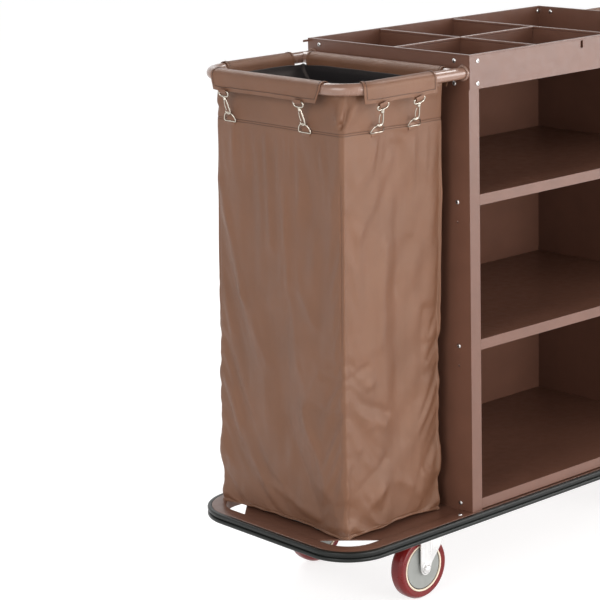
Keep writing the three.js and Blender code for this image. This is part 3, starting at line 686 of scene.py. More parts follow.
# ---------------------------------------------------------------- bags
# Heights with the bag's inner and outer x, front and rear y, and outer corner radius, all in mm.
BAG_RINGS = np.array([
    (162.8, 355, 599, -149, 187, 7),
    (250, 356, 601, -151, 187, 9),
    (380, 358, 604, -154, 186, 9),
    (580, 359, 606, -160, 179, 6),
    (760, 360, 609, -168, 172, 7),
    (900, 362, 612, -174, 166, 9),
    (925, 363, 612, -176, 166, 11),
    (955, 367, 610, -181, 176, 24),
    (978, 371, 607.5, -187, 187, 46),
    (990, 371.5, 606.5, -187.5, 187.5, 47),
])
STITCH_Z = 918.0
SEAM_ROWS = (918.4, 914.5)
BAG_FOOT = 162.8
SPREAD = 6.5
FOLD_SEED = 1.7
PIN_ABOVE = 908
CORNER_HOLD = 0.9
SIDE_STEPS = (44, 56, 36, 46)
CORNER_STEPS = 12
LIP_Z = 988.0
END_HOOKS = (0.117, -0.086)
FRONT_HOOKS = (0.548, 0.459)
INNER_HOOKS = (-0.086, 0.11)
FRONT_PULL, END_PULL = 8.0, 3.0


def hump(value, centre, width):
    """A smooth bump of height 1 round centre."""
    return math.exp(-(((value - centre) / width) ** 2))


def smoothstep(low, high, x):
    """0 below low, 1 above high and a soft rise between."""
    t = min(max((x - low) / (high - low), 0.0), 1.0)
    return t * t * (3 - 2 * t)


def grain(x, y, z):
    """Smooth noise at a place, from about -1 to 1."""
    return noise.noise(Vector((x, y, z)))


def row_at(heights, level):
    """The row of a bag nearest to a height in mm."""
    return min(range(len(heights)), key=lambda r: abs(heights[r] - level))


def lifted(points, outward, lift):
    """Points raised off the cloth along its outward directions."""
    return [Vector(p) + Vector(o) * lift for p, o in zip(points, outward)]


def ring_at(z):
    return [float(np.interp(z, BAG_RINGS[:, 0], BAG_RINGS[:, k])) for k in range(1, 6)]


def bag_rows():
    rows = [BAG_FOOT, 164, 165.4, 166.8, 168, 169, 170, 171.2, 173, 176]
    rows += list(np.linspace(181, 905, 112))
    rows += [909, 912, 913.6, 914.5, 915.4, 916.4, 917.4, 918.4, 919.4, 921, 923]
    rows += list(np.linspace(926, LIP_Z, 18))
    return rows


def bag_loop(z):
    """Points of one level and their outward directions, from the front inner corner, front side first.
    The corners away from the cabinet widen with the bend of the hoop, the other two stay tight."""
    inner, outer, front, rear, wide = ring_at(z)
    tight = min(wide, 7.0)
    x0, x1 = inner + tight, outer - wide
    sides = (
        ((x0, front), (x1, front), (0, -1)),
        ((outer, front + wide), (outer, rear - wide), (1, 0)),
        ((x1, rear), (x0, rear), (0, 1)),
        ((inner, rear - tight), (inner, front + tight), (-1, 0)),
    )
    centres = (
        (x1, front + wide, -90, wide), (x1, rear - wide, 0, wide),
        (x0, rear - tight, 90, tight), (x0, front + tight, 180, tight),
    )
    points, outward, where = [], [], []
    for k, ((ax, ay), (bx, by), out) in enumerate(sides):
        steps = SIDE_STEPS[k]
        for i in range(steps):
            t = i / steps
            points.append((ax + (bx - ax) * t, ay + (by - ay) * t))
            outward.append(out)
            where.append((k, t))
        cx, cy, start, radius = centres[k]
        for i in range(CORNER_STEPS):
            angle = math.radians(start + 90 * i / CORNER_STEPS)
            out = (math.cos(angle), math.sin(angle))
            points.append((cx + radius * out[0], cy + radius * out[1]))
            outward.append(out)
            where.append((k, 1 + i / CORNER_STEPS))
    return points, outward, where


# Ridges and valleys of the walls: the wall (0 front, 1 end), the share from its outer corner and the height
# at both ends of the line, then how far it stands out and how wide it is, in mm.
CREASES = (
    (1, 1.00, 800, 0.80, 590, 5.0, 13), (1, 0.80, 590, 0.60, 470, 4.0, 16),
    (1, 0.60, 890, 0.56, 700, 3.2, 15), (1, 0.17, 905, 0.05, 790, 3.4, 10),
    (1, 0.30, 890, 0.22, 760, -3.6, 20), (1, 0.47, 780, 0.34, 480, 4.2, 20),
    (1, 0.22, 470, 0.16, 380, 5.0, 34), (1, 0.30, 400, 0.02, 190, 6.5, 15),
    (1, 0.44, 360, 0.16, 190, -4.0, 18), (1, 0.92, 440, 0.84, 290, 3.4, 9),
    (1, 0.66, 235, 0.10, 182, 3.2, 10), (1, 0.80, 330, 0.62, 205, 2.6, 12),
    (1, 0.14, 471, 0.00, 468, -3.2, 6), (1, 0.20, 410, 0.00, 398, -3.0, 7),
    (1, 0.72, 860, 0.70, 610, -2.6, 16), (1, 0.86, 900, 0.93, 780, 2.6, 9),
    (1, 0.38, 660, 0.20, 560, 2.6, 12), (1, 0.55, 560, 0.48, 300, -2.4, 22),
    (0, 0.00, 785, 0.28, 878, 2.8, 9), (0, 0.02, 690, 0.47, 862, 1.8, 12),
    (0, 0.70, 905, 0.68, 720, 2.4, 11), (0, 0.84, 800, 0.80, 400, -2.2, 18),
    (0, 0.84, 567, 1.00, 562, -3.0, 5), (0, 0.86, 502, 1.00, 498, -2.8, 5),
    (0, 0.88, 442, 1.00, 430, -2.4, 5), (0, 0.00, 182, 0.36, 246, 4.6, 12),
    (0, 0.06, 250, 0.40, 300, -3.0, 14), (0, 0.00, 468, 0.20, 486, -3.4, 6),
    (0, 0.02, 440, 0.26, 452, 2.8, 8), (0, 0.12, 424, 0.42, 388, -3.4, 8),
    (0, 0.10, 402, 0.40, 366, 3.0, 8), (0, 0.00, 300, 0.24, 372, 3.2, 10),
    (0, 0.84, 262, 1.00, 226, -4.0, 7), (0, 0.55, 250, 0.90, 200, 2.6, 10),
    (0, 0.40, 700, 0.34, 520, 2.6, 16), (0, 0.56, 620, 0.60, 330, -2.4, 18),
)
WALL_WIDTH = (250.0, 336.0, 250.0, 336.0)


def near_line(u, z, u0, z0, u1, z1, width):
    """Distance in mm from a place on a wall to a line on it."""
    ax, ay = (u1 - u0) * width, z1 - z0
    bx, by = (u - u0) * width, z - z0
    share = min(max((ax * bx + ay * by) / (ax * ax + ay * ay), 0), 1)
    return math.hypot(bx - share * ax, by - share * ay)


def wall_folds(k, t, run, z, seed):
    """How far in mm the cloth stands out at a place: wall k, share t along it, run in mm, height z."""
    drop = (STITCH_Z - z) / (STITCH_Z - BAG_FOOT)
    below = smoothstep(0, 0.05, drop)
    if below == 0:
        return 0.0
    off_corner = 0.55 + 0.45 * math.sin(math.pi * min(max(t, 0), 1)) ** 0.7
    from_corner = 1 - t if k in (0, 2) else t
    value = grain(run / 62, z / 360 + seed, seed * 3.1) * 7.0
    value += grain(run / 25, z / 210 + 7 + seed, 2.0) * 2.6
    value += grain((run + 0.5 * z) / 48, (z - 0.3 * run) / 120, 11 + seed) * 3.4
    wobble = grain(run / 40, z / 40, 5.0 + seed) * 5
    for i, (wall, u0, z0, u1, z1, height, width) in enumerate(CREASES):
        if wall != k % 2 or not min(z0, z1) - 60 < z < max(z0, z1) + 60:
            continue
        shift = 0 if k < 2 else 90 * grain(i * 1.7, k * 2.3, seed)
        reach = near_line(from_corner, z - shift, u0, z0, u1, z1, WALL_WIDTH[k]) + wobble
        value += 1.5 * height * math.exp(-((abs(reach) / width) ** 1.5))
    sag = -3.0 * math.sin(math.pi * min(max(drop, 0), 1)) * math.sin(math.pi * min(max(t, 0), 1))
    crumple = 4.6 * grain(k % 2 * 0.3, z / 34, 3.0 + seed)
    crumple += 2.4 * grain(1.0, z / 15, seed)
    crumple *= hump(min(t, 1 - t) * WALL_WIDTH[k], 0, 42) * (1 - smoothstep(440, 620, z))
    return below * (value * off_corner + sag + crumple)


def folds(k, t, run, z, seed):
    """Folds of one wall, or across a corner the blend of both walls with the pinched edge of the seam."""
    if t < 1:
        return wall_folds(k, t, run, z, seed)
    turn = t - 1
    value = (1 - turn) * wall_folds(k, 1, run, z, seed) + turn * wall_folds((k + 1) % 4, 0, run, z, seed)
    if z < 915:
        pinch = smoothstep(480, 560, z) * (1 - smoothstep(800, 860, z))
        side_of_seam = turn if k == 0 else 1 - turn
        value += 1.6 * hump(side_of_seam, 0.3, 0.2) * (0.5 + pinch)
        value -= 1.8 * hump(side_of_seam, 0.8, 0.14) * pinch
    return value


def bag_points(side, seed):
    """The wall as rows by columns by xyz in metres, and the cloth's own coordinates."""
    rows = bag_rows()
    grid, cloth = [], []
    for z in rows:
        points, outward, where = bag_loop(z)
        run, line, flat = 0.0, [], []
        for i, ((x, y), (ox, oy), (k, t)) in enumerate(zip(points, outward, where)):
            if i:
                run += math.dist(points[i - 1], points[i])
            out = folds(k, t, run, z, seed)
            groove = -0.9 * (hump(z, SEAM_ROWS[0], 1.0) + 0.7 * hump(z, SEAM_ROWS[1], 1.0))
            tuck = corner_tuck(x, y, z) + hook_pull(k, x, y, z)
            hem = 1.3 * hump(z, 165.6, 2.2) - 1.5 * hump(z, 169.5, 0.9)
            far = SPREAD * (1 - smoothstep(250, 640, z))
            wide = far * max(0.0, (x - 480) / 120) * max(0.0, (y + 150) / 340)
            lift = 0.0
            if z < 200:
                lift = hem_lift(k, t) * (1 - smoothstep(165, 200, z))
            stand = out + groove + tuck + hem
            line.append((side * (x + wide + ox * stand) * MM, (y + wide + oy * stand) * MM, (z + lift) * MM))
            flat.append((run * MM, z * MM))
        grid.append(line)
        cloth.append(flat)
    return np.array(grid), np.array(cloth)


def corner_tuck(x, y, z):
    """The wide cloth is gathered under each bare tube corner: a pinch with a fold on both sides of it."""
    out = 0.0
    for cx, cy, slope, share in ((612, -186, -1, 1.0), (612, 186, 1, 0.45)):
        reach = math.hypot(x - cx, y - cy)
        if reach > 90:
            continue
        _, outer, front, rear, _ = ring_at(z)
        across = ((x - outer) - slope * (y - (front if slope < 0 else rear))) / math.sqrt(2)
        gather = smoothstep(925, 950, z) * (1 - smoothstep(978, 985, z))
        out -= 6.5 * share * gather * hump(across, -2, 3.4)
        out += 2.6 * share * gather * hump(across, 10, 7)
        out += 1.6 * share * gather * hump(across, -15, 9)
        out -= 8.0 * share * hump(z, 934, 6) * hump(across, 4, 4.5)
        out += 2.4 * share * hump(z, 945, 7) * hump(across, 9, 6)
    return out


def hook_pull(k, x, y, z):
    """The rings draw the cloth out towards the hooks, in a ridge that dies away down the wall."""
    along, places, reach = (x, FRONT_HOOKS, FRONT_PULL) if k in (0, 2) else (y, END_HOOKS, END_PULL)
    if z < 700:
        return 0.0
    above = hump(z, 925, 26) if z > 925 else math.exp(-(((925 - z) / 62) ** 1.5))
    total = 0.0
    for place in places:
        off = abs(along - place / MM)
        total += math.exp(-((off / 24) ** 1.6)) * above
    return reach * total


def hem_lift(k, t):
    """The bottom edge bows up between the corners."""
    t = min(t, 1)
    return 7.0 * math.sin(math.pi * t) ** 0.8 if k in (0, 1) else 3.0 * math.sin(math.pi * t)


def settle(name, grid, faces, pinned, cap=0.003, growth=0.001, frames=12):
    """Lets cloth that is slightly too big for its place buckle under gravity, and returns its points."""
    rows, columns, _ = grid.shape
    mesh = bpy.data.meshes.new(name)
    mesh.from_pydata([tuple(v) for v in grid.reshape(-1, 3)], [], faces)
    body = add_object(name, mesh)
    group = body.vertex_groups.new(name="pin")
    flat = pinned.ravel()
    for weight in np.unique(flat[flat > 0]):
        group.add(np.flatnonzero(flat == weight).tolist(), float(weight), "REPLACE")
    cloth = body.modifiers.new("cloth", "CLOTH")
    settings = cloth.settings
    settings.quality = 6
    settings.mass = 0.25
    settings.tension_stiffness = settings.compression_stiffness = 25
    settings.shear_stiffness = 8
    settings.bending_stiffness = 1.2
    settings.air_damping = 3
    settings.shrink_min = -growth
    settings.vertex_group_mass = "pin"
    cloth.collision_settings.use_collision = False
    cloth.collision_settings.use_self_collision = False
    cloth.point_cache.frame_start, cloth.point_cache.frame_end = 1, frames
    scene = bpy.context.scene
    for step in range(1, frames + 1):
        scene.frame_set(step)
    moved = body.evaluated_get(bpy.context.evaluated_depsgraph_get()).data
    settled = np.empty(rows * columns * 3)
    moved.vertices.foreach_get("co", settled)
    scene.frame_set(1)
    bpy.data.objects.remove(body)
    shift = settled.reshape(grid.shape) - grid
    length = np.linalg.norm(shift, axis=2, keepdims=True)
    return grid + shift * np.minimum(1, cap / np.maximum(length, 1e-9))


def thicken(made, thickness, offset):
    """Smooths a cloth surface and gives it thickness."""
    smooth = modifier(made, "smooth", "SUBSURF")
    smooth.levels = smooth.render_levels = 1
    thick = modifier(made, "cloth_thickness", "SOLIDIFY")
    thick.thickness, thick.offset = thickness, offset
    return thick


def oriented(faces, side):
    return faces if side == RIGHT else [tuple(reversed(f)) for f in faces]


def stitches(shell, line, outward, pitch=0.0036, length=0.0026, radius=0.00042, closed=False):
    """Thread stitches laid along a line on cloth."""
    line = [Vector(p) for p in line]
    ends = line + [line[0]] if closed else line
    reach, place = 0.0, pitch / 2
    for i in range(len(ends) - 1):
        step = (ends[i + 1] - ends[i]).length
        if step < 1e-7:
            continue
        along = (ends[i + 1] - ends[i]) / step
        out = Vector(outward[i % len(outward)])
        while place < reach + step:
            middle = ends[i] + along * (place - reach) + out * radius * 0.5
            half = along * length / 2
            dip = out * radius * 0.9
            stitch = [middle - half - dip, middle - half * 0.4, middle + half * 0.4, middle + half - dip]
            shell.add(*tube(stitch, radius, 5, round_ends=False))
            place += pitch
        reach += step


def pin_weights(heights, columns):
    """How firmly each place of a wall is held: fully at the belt and the foot, firmly down the corners."""
    pinned = np.zeros((len(heights), columns))
    for mark in np.cumsum([n + CORNER_STEPS for n in SIDE_STEPS]):
        pinned[:, mark - CORNER_STEPS - 1:mark] = CORNER_HOLD
        pinned[:, mark % columns] = CORNER_HOLD
    for r, z in enumerate(heights):
        if z > PIN_ABOVE or r < 2:
            pinned[r] = 1.0
    return pinned


def bag_floor(foot):
    """Rings of the bag's bottom, from its middle out to the foot of the wall, with their UVs."""
    centre = foot.mean(axis=0)
    rings = []
    for share in (0.25, 0.55, 0.82, 0.965):
        ring = centre + (foot - centre) * share
        ring[:, 2] = foot[:, 2] * share ** 6 + BAG_FOOT * MM * (1 - share ** 6)
        rings.append(ring)
    rings = np.array(rings)
    return rings, rings[:, :, :2]


def bag_trim(side, grid, heights):
    """The two stitched rows of the belt and the rolled hem round the foot."""
    name = SIDE_NAMES[side]
    outward = [(side * ox, oy, 0) for ox, oy in bag_loop(STITCH_Z)[1]]
    seam = Shell()
    for level in SEAM_ROWS:
        line = lifted(grid[row_at(heights, level)], outward, 0.0002)
        stitches(seam, line, outward, closed=True)
    seam.piece(f"bag_seam_{name}", THREAD, smooth=60)
    line = [p + Vector((0, 0, 0.0012)) for p in lifted(grid[0], outward, 0.0003)]
    hem = tube(line, 0.0014, 8, closed=True)
    piece(f"bag_hem_{name}", *hem, CLOTH, slot="bag_fabric", smooth=60)


def make_bag(side, seed):
    """The cloth of one bag, with its trim. Gives back the settled wall and its heights."""
    name = SIDE_NAMES[side]
    grid, cloth_uv = bag_points(side, seed)
    rows, columns, _ = grid.shape
    heights = bag_rows()
    faces = rows_to_faces(rows, columns)
    grid = settle(f"bag_sim_{name}", grid, faces, pin_weights(heights, columns))
    for column in range(columns):
        dip = lip_dip(column)
        for r, z in enumerate(heights):
            if z > 950:
                grid[r, column, 2] -= dip * MM * (z - 950) / (LIP_Z - 950)
    rings, rings_uv = bag_floor(grid[0])
    everything = np.concatenate([rings, grid])
    uv = np.concatenate([rings_uv, cloth_uv]).reshape(-1, 2)
    faces = rows_to_faces(len(everything), columns)
    faces += [(i + 1, i, columns - 1 - i, columns - 2 - i) for i in range(columns // 2 - 1)]
    made = piece(f"bag_cloth_{name}", everything.reshape(-1, 3), oriented(faces, side), CLOTH,
                 slot="bag_fabric", smooth=180, uvs=uv)
    made.data.materials.append(LINER)
    thicken(made, 0.0011, offset=-1).material_offset = 1
    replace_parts(made, f"bag_{name}")
    bag_trim(side, grid, heights)
    return grid, heights


def lip_dip(column):
    """The lip hangs a little lower between the folds at its corners, which leaves thin slits there."""
    marks = np.cumsum([n + CORNER_STEPS for n in SIDE_STEPS]) - CORNER_STEPS / 2
    near = min(abs(column - marks[1]), abs(column - marks[2]))
    return 3.0 * hump(near, 7, 4) + 1.0 * grain(column / 9, 4.0, 0)


# ---------------------------------------------------------------- flaps over the tubes
FLAP_R = 0.0125
FLAP_DROP = 0.025
FLAP_INNER = 0.0135
HEM_THICK, SEAM_DEEP, THREAD_LIFT = 0.0005, 0.00045, 0.0009
HEM_ROW, HEM_COLUMN = 4, 3
# Lengths of the hoop's straight stretches and bends along its centreline
FRONT_RUN = BEND_X - HOOP_ROOT
BEND_RUN = HOOP_BEND * math.pi / 2
END_RUN = 2 * BEND_Y


def bend_station(centre_y, angle):
    out = (math.cos(angle), math.sin(angle))
    return (BEND_X + HOOP_BEND * out[0], centre_y + HOOP_BEND * out[1]), out


def hoop_station(s):
    """Point and outward direction on the hoop's centreline, by its length in metres from the front root."""
    end_start = FRONT_RUN + BEND_RUN
    back_bend = end_start + END_RUN
    if s <= FRONT_RUN:
        return (HOOP_ROOT + s, -HOOP_Y), (0, -1)
    if s <= end_start:
        return bend_station(-BEND_Y, (s - FRONT_RUN) / HOOP_BEND - math.pi / 2)
    if s <= back_bend:
        return (HOOP_X, s - end_start - BEND_Y), (1, 0)
    if s <= back_bend + BEND_RUN:
        return bend_station(BEND_Y, (s - back_bend) / HOOP_BEND)
    return (BEND_X - (s - back_bend - BEND_RUN), HOOP_Y), (0, 1)


def bar_station(s):
    return (BAR_X, -s), (-1, 0)


def flap_section(count_arc=16, count_inner=6):
    """(out, up, share down the outer leg) from the lower outer edge, over the tube, to the inner edge."""
    points = []
    for t in (0, 0.03, 0.08, 0.2, 0.29, 0.33, 0.37, 0.5, 0.65, 0.8, 0.92):
        up = -FLAP_DROP * (1 - t)
        points.append((FLAP_R - 0.0012 * (1 - t) ** 2, up, 1 - t))
    for i in range(count_arc + 1):
        angle = math.pi * i / count_arc
        points.append((FLAP_R * math.cos(angle), FLAP_R * math.sin(angle), 0))
    for i in range(1, count_inner + 1):
        points.append((-FLAP_R + 0.0004 * i / count_inner, -FLAP_INNER * i / count_inner, 0))
    return points


def flap_place(out, up, leg, s, from_edge, pulls, seed):
    """Where the cloth of a flap lies, outward and upward of the tube's centreline, with its hem, seam groove,
    soft waves and the pull of the hooks. s is the length along the tube."""
    hem = HEM_THICK * (1 - smoothstep(0.0048, 0.0056, from_edge))
    seam = SEAM_DEEP * hump(from_edge, 0.0052, 0.0005)
    if leg > 0:
        low = FLAP_DROP * (1 - leg)
        hem = max(hem, HEM_THICK * (1 - smoothstep(0.0078, 0.009, low)))
        seam = max(seam, SEAM_DEEP * hump(low, 0.0085, 0.0006))
    wave = grain(s * 34, up * 30, seed) * 0.0012 * (0.35 + leg)
    flare = grain(s * 16, seed * 2, 3.0) * 0.0018 * leg
    drop = sum(hump(s, p, 0.016) for p in pulls)
    sway = wave + flare - 0.0012 * drop * leg if up <= 0 or leg else wave
    reach = out + math.copysign(hem - seam, out) + sway
    if out > -0.004:
        reach = max(reach, out - 0.0009)
    height = up - 0.0016 * drop * leg + 0.0009 * grain(s * 25, 9.0, seed) * leg
    if leg == 0 and up > 0:
        height += hem - seam + abs(wave) * 0.5
    return reach, height


def flap_threads(name, rows, section, outward):
    """Stitches along the lower edge and over the tube beside both ends."""
    thread = Shell()
    line = lifted(rows[HEM_ROW], outward, THREAD_LIFT)
    stitches(thread, line[HEM_COLUMN:-HEM_COLUMN], outward[HEM_COLUMN:-HEM_COLUMN])
    for column in (HEM_COLUMN, len(outward) - 1 - HEM_COLUMN):
        out = Vector(outward[column])
        face, normals = [], []
        for r, (o, u, _) in enumerate(section[HEM_ROW:-HEM_ROW * 2], HEM_ROW):
            normal = out if u <= 0 else (out * o + Vector((0, 0, u))).normalized()
            face.append(Vector(rows[r][column]) + normal * THREAD_LIFT)
            normals.append(tuple(normal))
        stitches(thread, face, normals)
    thread.piece(f"flap_seam_{name}", THREAD, smooth=60)


def make_flap(name, side, station, top, bottom, pulls=(), seed=0.0):
    """A flap between two places along the tube, top at its fold and bottom at its lower edge."""
    section = flap_section()
    length = top[1] - top[0]
    edge = [0, 0.0012, 0.0035, 0.0048, 0.0056, 0.0065, 0.008]
    inner_count = max(4, int((length - 0.016) / 0.005))
    columns = edge + list(np.linspace(0.012, length - 0.012, inner_count))
    columns += [length - e for e in reversed(edge)]
    verts, uvs = [], []
    for out, up, leg in section:
        start = top[0] + (bottom[0] - top[0]) * leg
        stop = top[1] + (bottom[1] - top[1]) * leg
        for c in columns:
            s = start + (stop - start) * (c / length)
            (x, y), (nx, ny) = station(s)
            reach, height = flap_place(out, up, leg, s, min(c, length - c), pulls, seed)
            verts.append(Vector((side * (x + nx * reach), y + ny * reach, TUBE_Z + height)))
            uvs.append((s, up + out))
    faces = rows_to_faces(len(section), len(columns), close_columns=False)
    if (side == LEFT) != (station is bar_station):
        faces = [tuple(reversed(f)) for f in faces]
    made = piece(f"flap_{name}", verts, faces, CLOTH, slot="bag_fabric", smooth=60, uvs=uvs)
    thicken(made, 0.0012, offset=0)
    rows = np.array([tuple(v) for v in verts]).reshape(len(section), len(columns), 3)
    normals = [station(top[0] + c)[1] for c in columns]
    flap_threads(name, rows, section, [(side * nx, ny, 0) for nx, ny in normals])


def hoop_run(side_of_hoop, value):
    """Length along the centreline of an x on the front or back tube, or a y on the end tube."""
    if side_of_hoop == "front":
        return value - HOOP_ROOT
    if side_of_hoop == "end":
        return FRONT_RUN + BEND_RUN + value + BEND_Y
    return FRONT_RUN + 2 * BEND_RUN + END_RUN + BEND_X - value


def make_flaps(side):
    name = SIDE_NAMES[side]
    front = [hoop_run("front", x) for x in (0.4145, 0.5835)]
    low = [hoop_run("front", x) for x in (0.413, 0.582)]
    pulls = [hoop_run("front", x) for x in FRONT_HOOKS]
    make_flap(f"{name}_front", side, hoop_station, front, low, pulls, 1.0)
    end = [hoop_run("end", y) for y in (-0.142, 0.150)]
    low = [hoop_run("end", y) for y in (-0.1295, 0.1455)]
    pulls = [hoop_run("end", y) for y in END_HOOKS]
    make_flap(f"{name}_end", side, hoop_station, end, low, pulls, 2.0)
    back = [hoop_run("back", x) for x in (0.559, 0.394)]
    pulls = [hoop_run("back", x) for x in FRONT_HOOKS]
    make_flap(f"{name}_back", side, hoop_station, back, [back[0] + 0.002, back[1] - 0.002], pulls, 3.0)
    make_flap(f"{name}_inner", side, bar_station, (-0.178, 0.178), (-0.172, 0.172), INNER_HOOKS, 4.0)


# ---------------------------------------------------------------- hooks and rings
WIRE = 0.0015
BAIL_HALF, BAIL_DROP = 0.0125, 0.009
HOOK_OUT = TUBE_R + 0.0016 + 0.001
HOOK_TOP = TUBE_Z - 0.025 - 0.0003 - WIRE
RING_Z = 0.9145
RING_CLEAR, BAR_STANDOFF = 0.0016, 0.0022
CURL_LOW = (-0.0015, 0, -0.0413)
RING_HALF = 0.0155
PATCH_HALF, PATCH_CORNER = (0.0105, 0.0075), 0.0012
RING_SHIFTS = {1: 0, 2: 0, 3: 0.003, 4: 0.006}
END_TILT, FRONT_TILT, FRONT_LEAN = (math.radians(v) for v in (17, 24, 12))


def hook_matrix(x, y, turn, tilt, lean):
    lower = BAIL_HALF * abs(math.sin(lean))
    hung = Matrix.Translation((x, y, HOOK_TOP - lower)) @ Matrix.Rotation(turn, 4, "Z")
    return hung @ Matrix.Rotation(tilt, 4, "X") @ Matrix.Rotation(lean, 4, "Y")


def local_shell(shell, matrix, part):
    verts, faces = part
    shell.add([matrix @ Vector(v) for v in verts], faces)


def hook_body(matrix):
    made = Shell()
    half, drop = BAIL_HALF, BAIL_DROP
    tight, wide = 0.0022, 0.006
    loop = arc(half - tight, -tight, tight, 90, 0, 5) + arc(half - wide, -drop + wide, wide, 0, -90, 8)
    loop += arc(wide - half, -drop + wide, wide, 270, 180, 8) + arc(tight - half, -tight, tight, 180, 90, 5)
    local_shell(made, matrix, tube([(x, 0, z) for x, z in loop], WIRE, 12, closed=True))
    neck = scaled([(2.6, -17), (3.6, -15.4), (3.5, -13.2), (2.7, -12.4), (2.7, -11.4), (3.4, -10.6)])
    neck += scaled([(3.4, -9.4), (2.4, -8.4)])
    local_shell(made, matrix, lathe(neck, (0, 0, 0), (0, 0, 1), 20, closed=False))
    curl = [(-1.5 + 6.2 * math.cos(a), -38 - 6.2 * math.sin(a)) for a in np.linspace(0, math.pi * 0.94, 18)]
    spine = [(2.0, -15.5), (2.6, -19), (3.6, -27), (4.5, -34)] + curl
    local_shell(made, matrix, tube([(x * MM, 0, z * MM) for x, z in spine], WIRE, 12))
    return made


def hook_gate(matrix):
    made = Shell()
    line = [(-4.2, -19), (-4.9, -22), (-5.6, -26.5), (-5.5, -31), (-4.9, -34.5), (-4.5, -36.5)]
    local_shell(made, matrix, tube([(x * MM, 0, z * MM) for x, z in line], 0.0010, 10))
    return made


def bail_tab(shell, matrix):
    """A webbing loop from the lower edge of a flap round the top bar of a bail."""
    outer = [(0.0028, 0.0045)] + arc(0, 0, 0.0028, 0, -180, 10) + [(-0.0028, 0.0045)]
    inner = [(-0.0017, 0.0045)] + arc(0, 0, 0.0017, -180, 0, 10) + [(0.0017, 0.0045)]
    section = outer + inner
    rows = []
    for x in np.linspace(-0.0095, 0.0095, 8):
        rows += [matrix @ Vector((x, a, b)) for a, b in section]
    count = len(section)
    faces = rows_to_faces(8, count)
    half = len(outer)
    for row, flip in ((0, False), (7, True)):
        for i in range(half - 1):
            a, b = row * count + i, row * count + i + 1
            c, d = row * count + count - 2 - i, row * count + count - 1 - i
            faces.append((a, b, c, d) if flip else (d, c, b, a))
    shell.add(rows, faces)


def clear_of_cloth(grid, heights, point, out):
    """Moves a place on a ring outward where the cloth under it would cover the wire."""
    row = row_at(heights, point.z / MM)
    across = np.abs(np.array([out[1], out[0], 0]))
    out = np.array(out)
    cover = -9.0
    for line in grid[max(row - 1, 0):row + 2]:
        gap = line - np.array(point)
        facing = (np.abs(gap @ across) < 0.005) & (np.abs(gap @ out) < 0.03)
        if facing.any():
            cover = max(cover, float((line[facing] @ out).max()))
    short = cover + RING_CLEAR - point.dot(Vector(out))
    return point + Vector(out) * max(short, 0.0)


def ring_and_patch(rings, patches, top, foot, out, grid, heights):
    """A half-moon ring from its bar on the cloth up to the hook, and the webbing patch behind the bar."""
    up = Vector(top) - Vector(foot)
    out = Vector(out)
    across = out.cross(Vector((0, 0, 1))).normalized()
    half, height = RING_HALF, up.length
    up.normalize()
    curve = arc(0, 0, 1, 180, 0, 20)
    points = [(half * x, height * y) for x, y in curve]
    inset, bar = 0.0016, -0.0004
    points = [(x, max(y, inset)) for x, y in points]
    points = [(inset - half, bar)] + points + [(half - inset, bar)]
    wire = [clear_of_cloth(grid, heights, Vector(foot) + across * x + up * y, out) for x, y in points]
    rings.add(*tube(wire, 0.00125, 12, closed=True))
    back = Vector(foot) - out * inset
    rows = []
    for lift, grow in ((-0.0012, 0), (0.0002, 0), (0.0007, -0.0008)):
        for corner in rounded_loop(PATCH_HALF[0] + grow, PATCH_HALF[1] + grow, PATCH_CORNER, 0, 3):
            rows.append(back + out * lift + across * corner.x + Vector((0, 0, corner.y)))
    patches.add(rows, skin(3, len(rows) // 3))


def face_of(grid, heights, point, out):
    """How far the cloth stands out at a ring, from the nearest point of the settled bag."""
    line = grid[row_at(heights, RING_Z / MM)]
    across = np.array([out[1], out[0], 0])
    near = np.abs((line - np.array(point)) @ np.abs(across))
    reach = line @ np.array(out)
    return float(reach[np.where(near < 0.012)].max())


def make_hooks(side, grid, heights):
    name = SIDE_NAMES[side]
    rings, patches, tabs, hidden = Shell(), Shell(), Shell(), Shell()
    spots = []
    for i, y in enumerate(END_HOOKS):
        spots.append((i + 1, side * (HOOP_X + HOOK_OUT), y, side * math.pi / 2, END_TILT, 0, (side, 0, 0)))
    for i, x in enumerate(FRONT_HOOKS):
        spots.append((i + 3, side * x, -HOOP_Y - HOOK_OUT, 0, FRONT_TILT, side * FRONT_LEAN, (0, -1, 0)))
    for x in FRONT_HOOKS:
        spots.append((0, side * x, HOOP_Y + HOOK_OUT, math.pi, FRONT_TILT, 0, (0, 1, 0)))
    for y in INNER_HOOKS:
        spots.append((0, side * (BAR_X - HOOK_OUT), y, -side * math.pi / 2, END_TILT, 0, (-side, 0, 0)))
    for label, x, y, turn, tilt, lean, out in spots:
        matrix = hook_matrix(x, y, turn, tilt, lean)
        level = hook_matrix(x, y, turn, 0, lean)
        bail_tab(tabs, level)
        top = matrix @ Vector(CURL_LOW)
        reach = face_of(grid, heights, top, out)
        foot = Vector(top)
        foot.x -= side * RING_SHIFTS.get(label, 0)
        foot.z = RING_Z
        foot += Vector(out) * (reach + BAR_STANDOFF - foot.dot(Vector(out)))
        ring_and_patch(rings, patches, top, foot, out, grid, heights)
        body, gate = hook_body(matrix), hook_gate(matrix)
        if label:
            made = body.piece(f"hook_{name}_{label}", NICKEL, slot="nickel", smooth=60)
            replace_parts(made, f"snap_hook_{name}_{label}")
            made = gate.piece(f"gate_wire_{name}_{label}", NICKEL, f"gate_{name}_{label}", "nickel", 60)
            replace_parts(made, f"hook_gate_{name}_{label}")
        else:
            hidden.add(body.verts, body.faces)
            hidden.add(gate.verts, gate.faces)
    rings.piece(f"d_rings_{name}", NICKEL, slot="nickel", smooth=60)
    patches.piece(f"ring_patches_{name}", CLOTH, slot="bag_fabric")
    tabs.piece(f"bail_tabs_{name}", CLOTH, slot="bag_fabric")
    hidden.piece(f"far_hooks_{name}", NICKEL, slot="nickel", smooth=60)


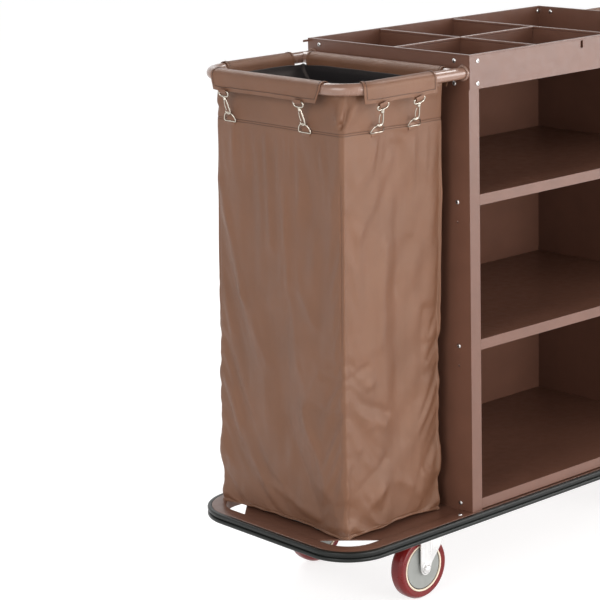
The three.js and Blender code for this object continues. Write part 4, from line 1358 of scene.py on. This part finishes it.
for side in (LEFT, RIGHT):
    bag_grid, bag_heights = make_bag(side, FOLD_SEED)
    make_flaps(side)
    make_hooks(side, bag_grid, bag_heights)


# ---------------------------------------------------------------- stage
FLOOR_HALF = 40
# Name, place, aim, width and height, radiance. The last two only draw bright lines on upward edges.
SOFTBOXES = (
    ("key", (3.1, -3.7, 1.35), (0, -0.2, 0.8), (2.6, 2.4), 5.9),
    ("front", (-0.2, -4.6, 1.1), (0, 0, 0.9), (2.6, 1.9), 8.2),
    ("fill", (-4.2, -1.0, 2.3), (-0.4, 0, 0.6), (2.4, 2.4), 4.5),
    ("high", (-1.2, -3.6, 3.6), (-0.3, 0, 0.7), (1.8, 1.2), 3),
    ("behind", (0.4, 3.4, 4.1), (0, 0, 0.9), (2.8, 1.3), 7),
    ("rim", (3.0, -0.5, 4.3), (0, 0, 0.9), (1.6, 1.6), 10),
)


def softbox(name, at, aim, size, radiance):
    data = bpy.data.lights.new(name, "AREA")
    data.shape, data.size, data.size_y = "RECTANGLE", size[0], size[1]
    data.energy = radiance * math.pi * size[0] * size[1]
    lamp = add_object(name, data)
    lamp.location = at
    lamp.rotation_mode = "QUATERNION"
    lamp.rotation_quaternion = (Vector(aim) - Vector(at)).to_track_quat("-Z", "Y")


def make_world():
    """A white studio: bright towards the horizon, dimmer overhead."""
    world = bpy.data.worlds.new("studio")
    world.use_nodes = True
    tree = world.node_tree
    back = tree.nodes["Background"]
    back.inputs["Color"].default_value = shade(1, 1, 1)
    where = tree.nodes.new("ShaderNodeTexCoord")
    split = tree.nodes.new("ShaderNodeSeparateXYZ")
    tree.links.new(where.outputs["Generated"], split.inputs[0])
    fade = tree.nodes.new("ShaderNodeMapRange")
    for socket, number in zip(fade.inputs[1:5], (0.3, 0.7, 1.2, 0.25)):
        socket.default_value = number
    tree.links.new(split.outputs[2], fade.inputs[0])
    tree.links.new(fade.outputs[0], back.inputs["Strength"])
    bpy.context.scene.world = world


def make_stage():
    floor = Graph("pale_floor", Roughness=0.7)
    floor.colour(shade(0.4, 0.4, 0.4))
    floor.put(floor.shader.inputs["Emission Color"], shade(1, 1, 1))
    floor.shader.inputs["Emission Strength"].default_value = 0.74
    mesh = bpy.data.meshes.new("floor")
    corners = [(x * FLOOR_HALF, y * FLOOR_HALF, 0) for x, y in ((-1, -1), (1, -1), (1, 1), (-1, 1))]
    mesh.from_pydata(corners, [], [(0, 1, 2, 3)])
    mesh.materials.append(floor.material)
    made = add_object("floor", mesh)
    make_world()
    for box in SOFTBOXES:
        softbox(*box)
    bpy.context.scene.view_settings.view_transform = "Standard"


make_stage()
wake_modifiers()
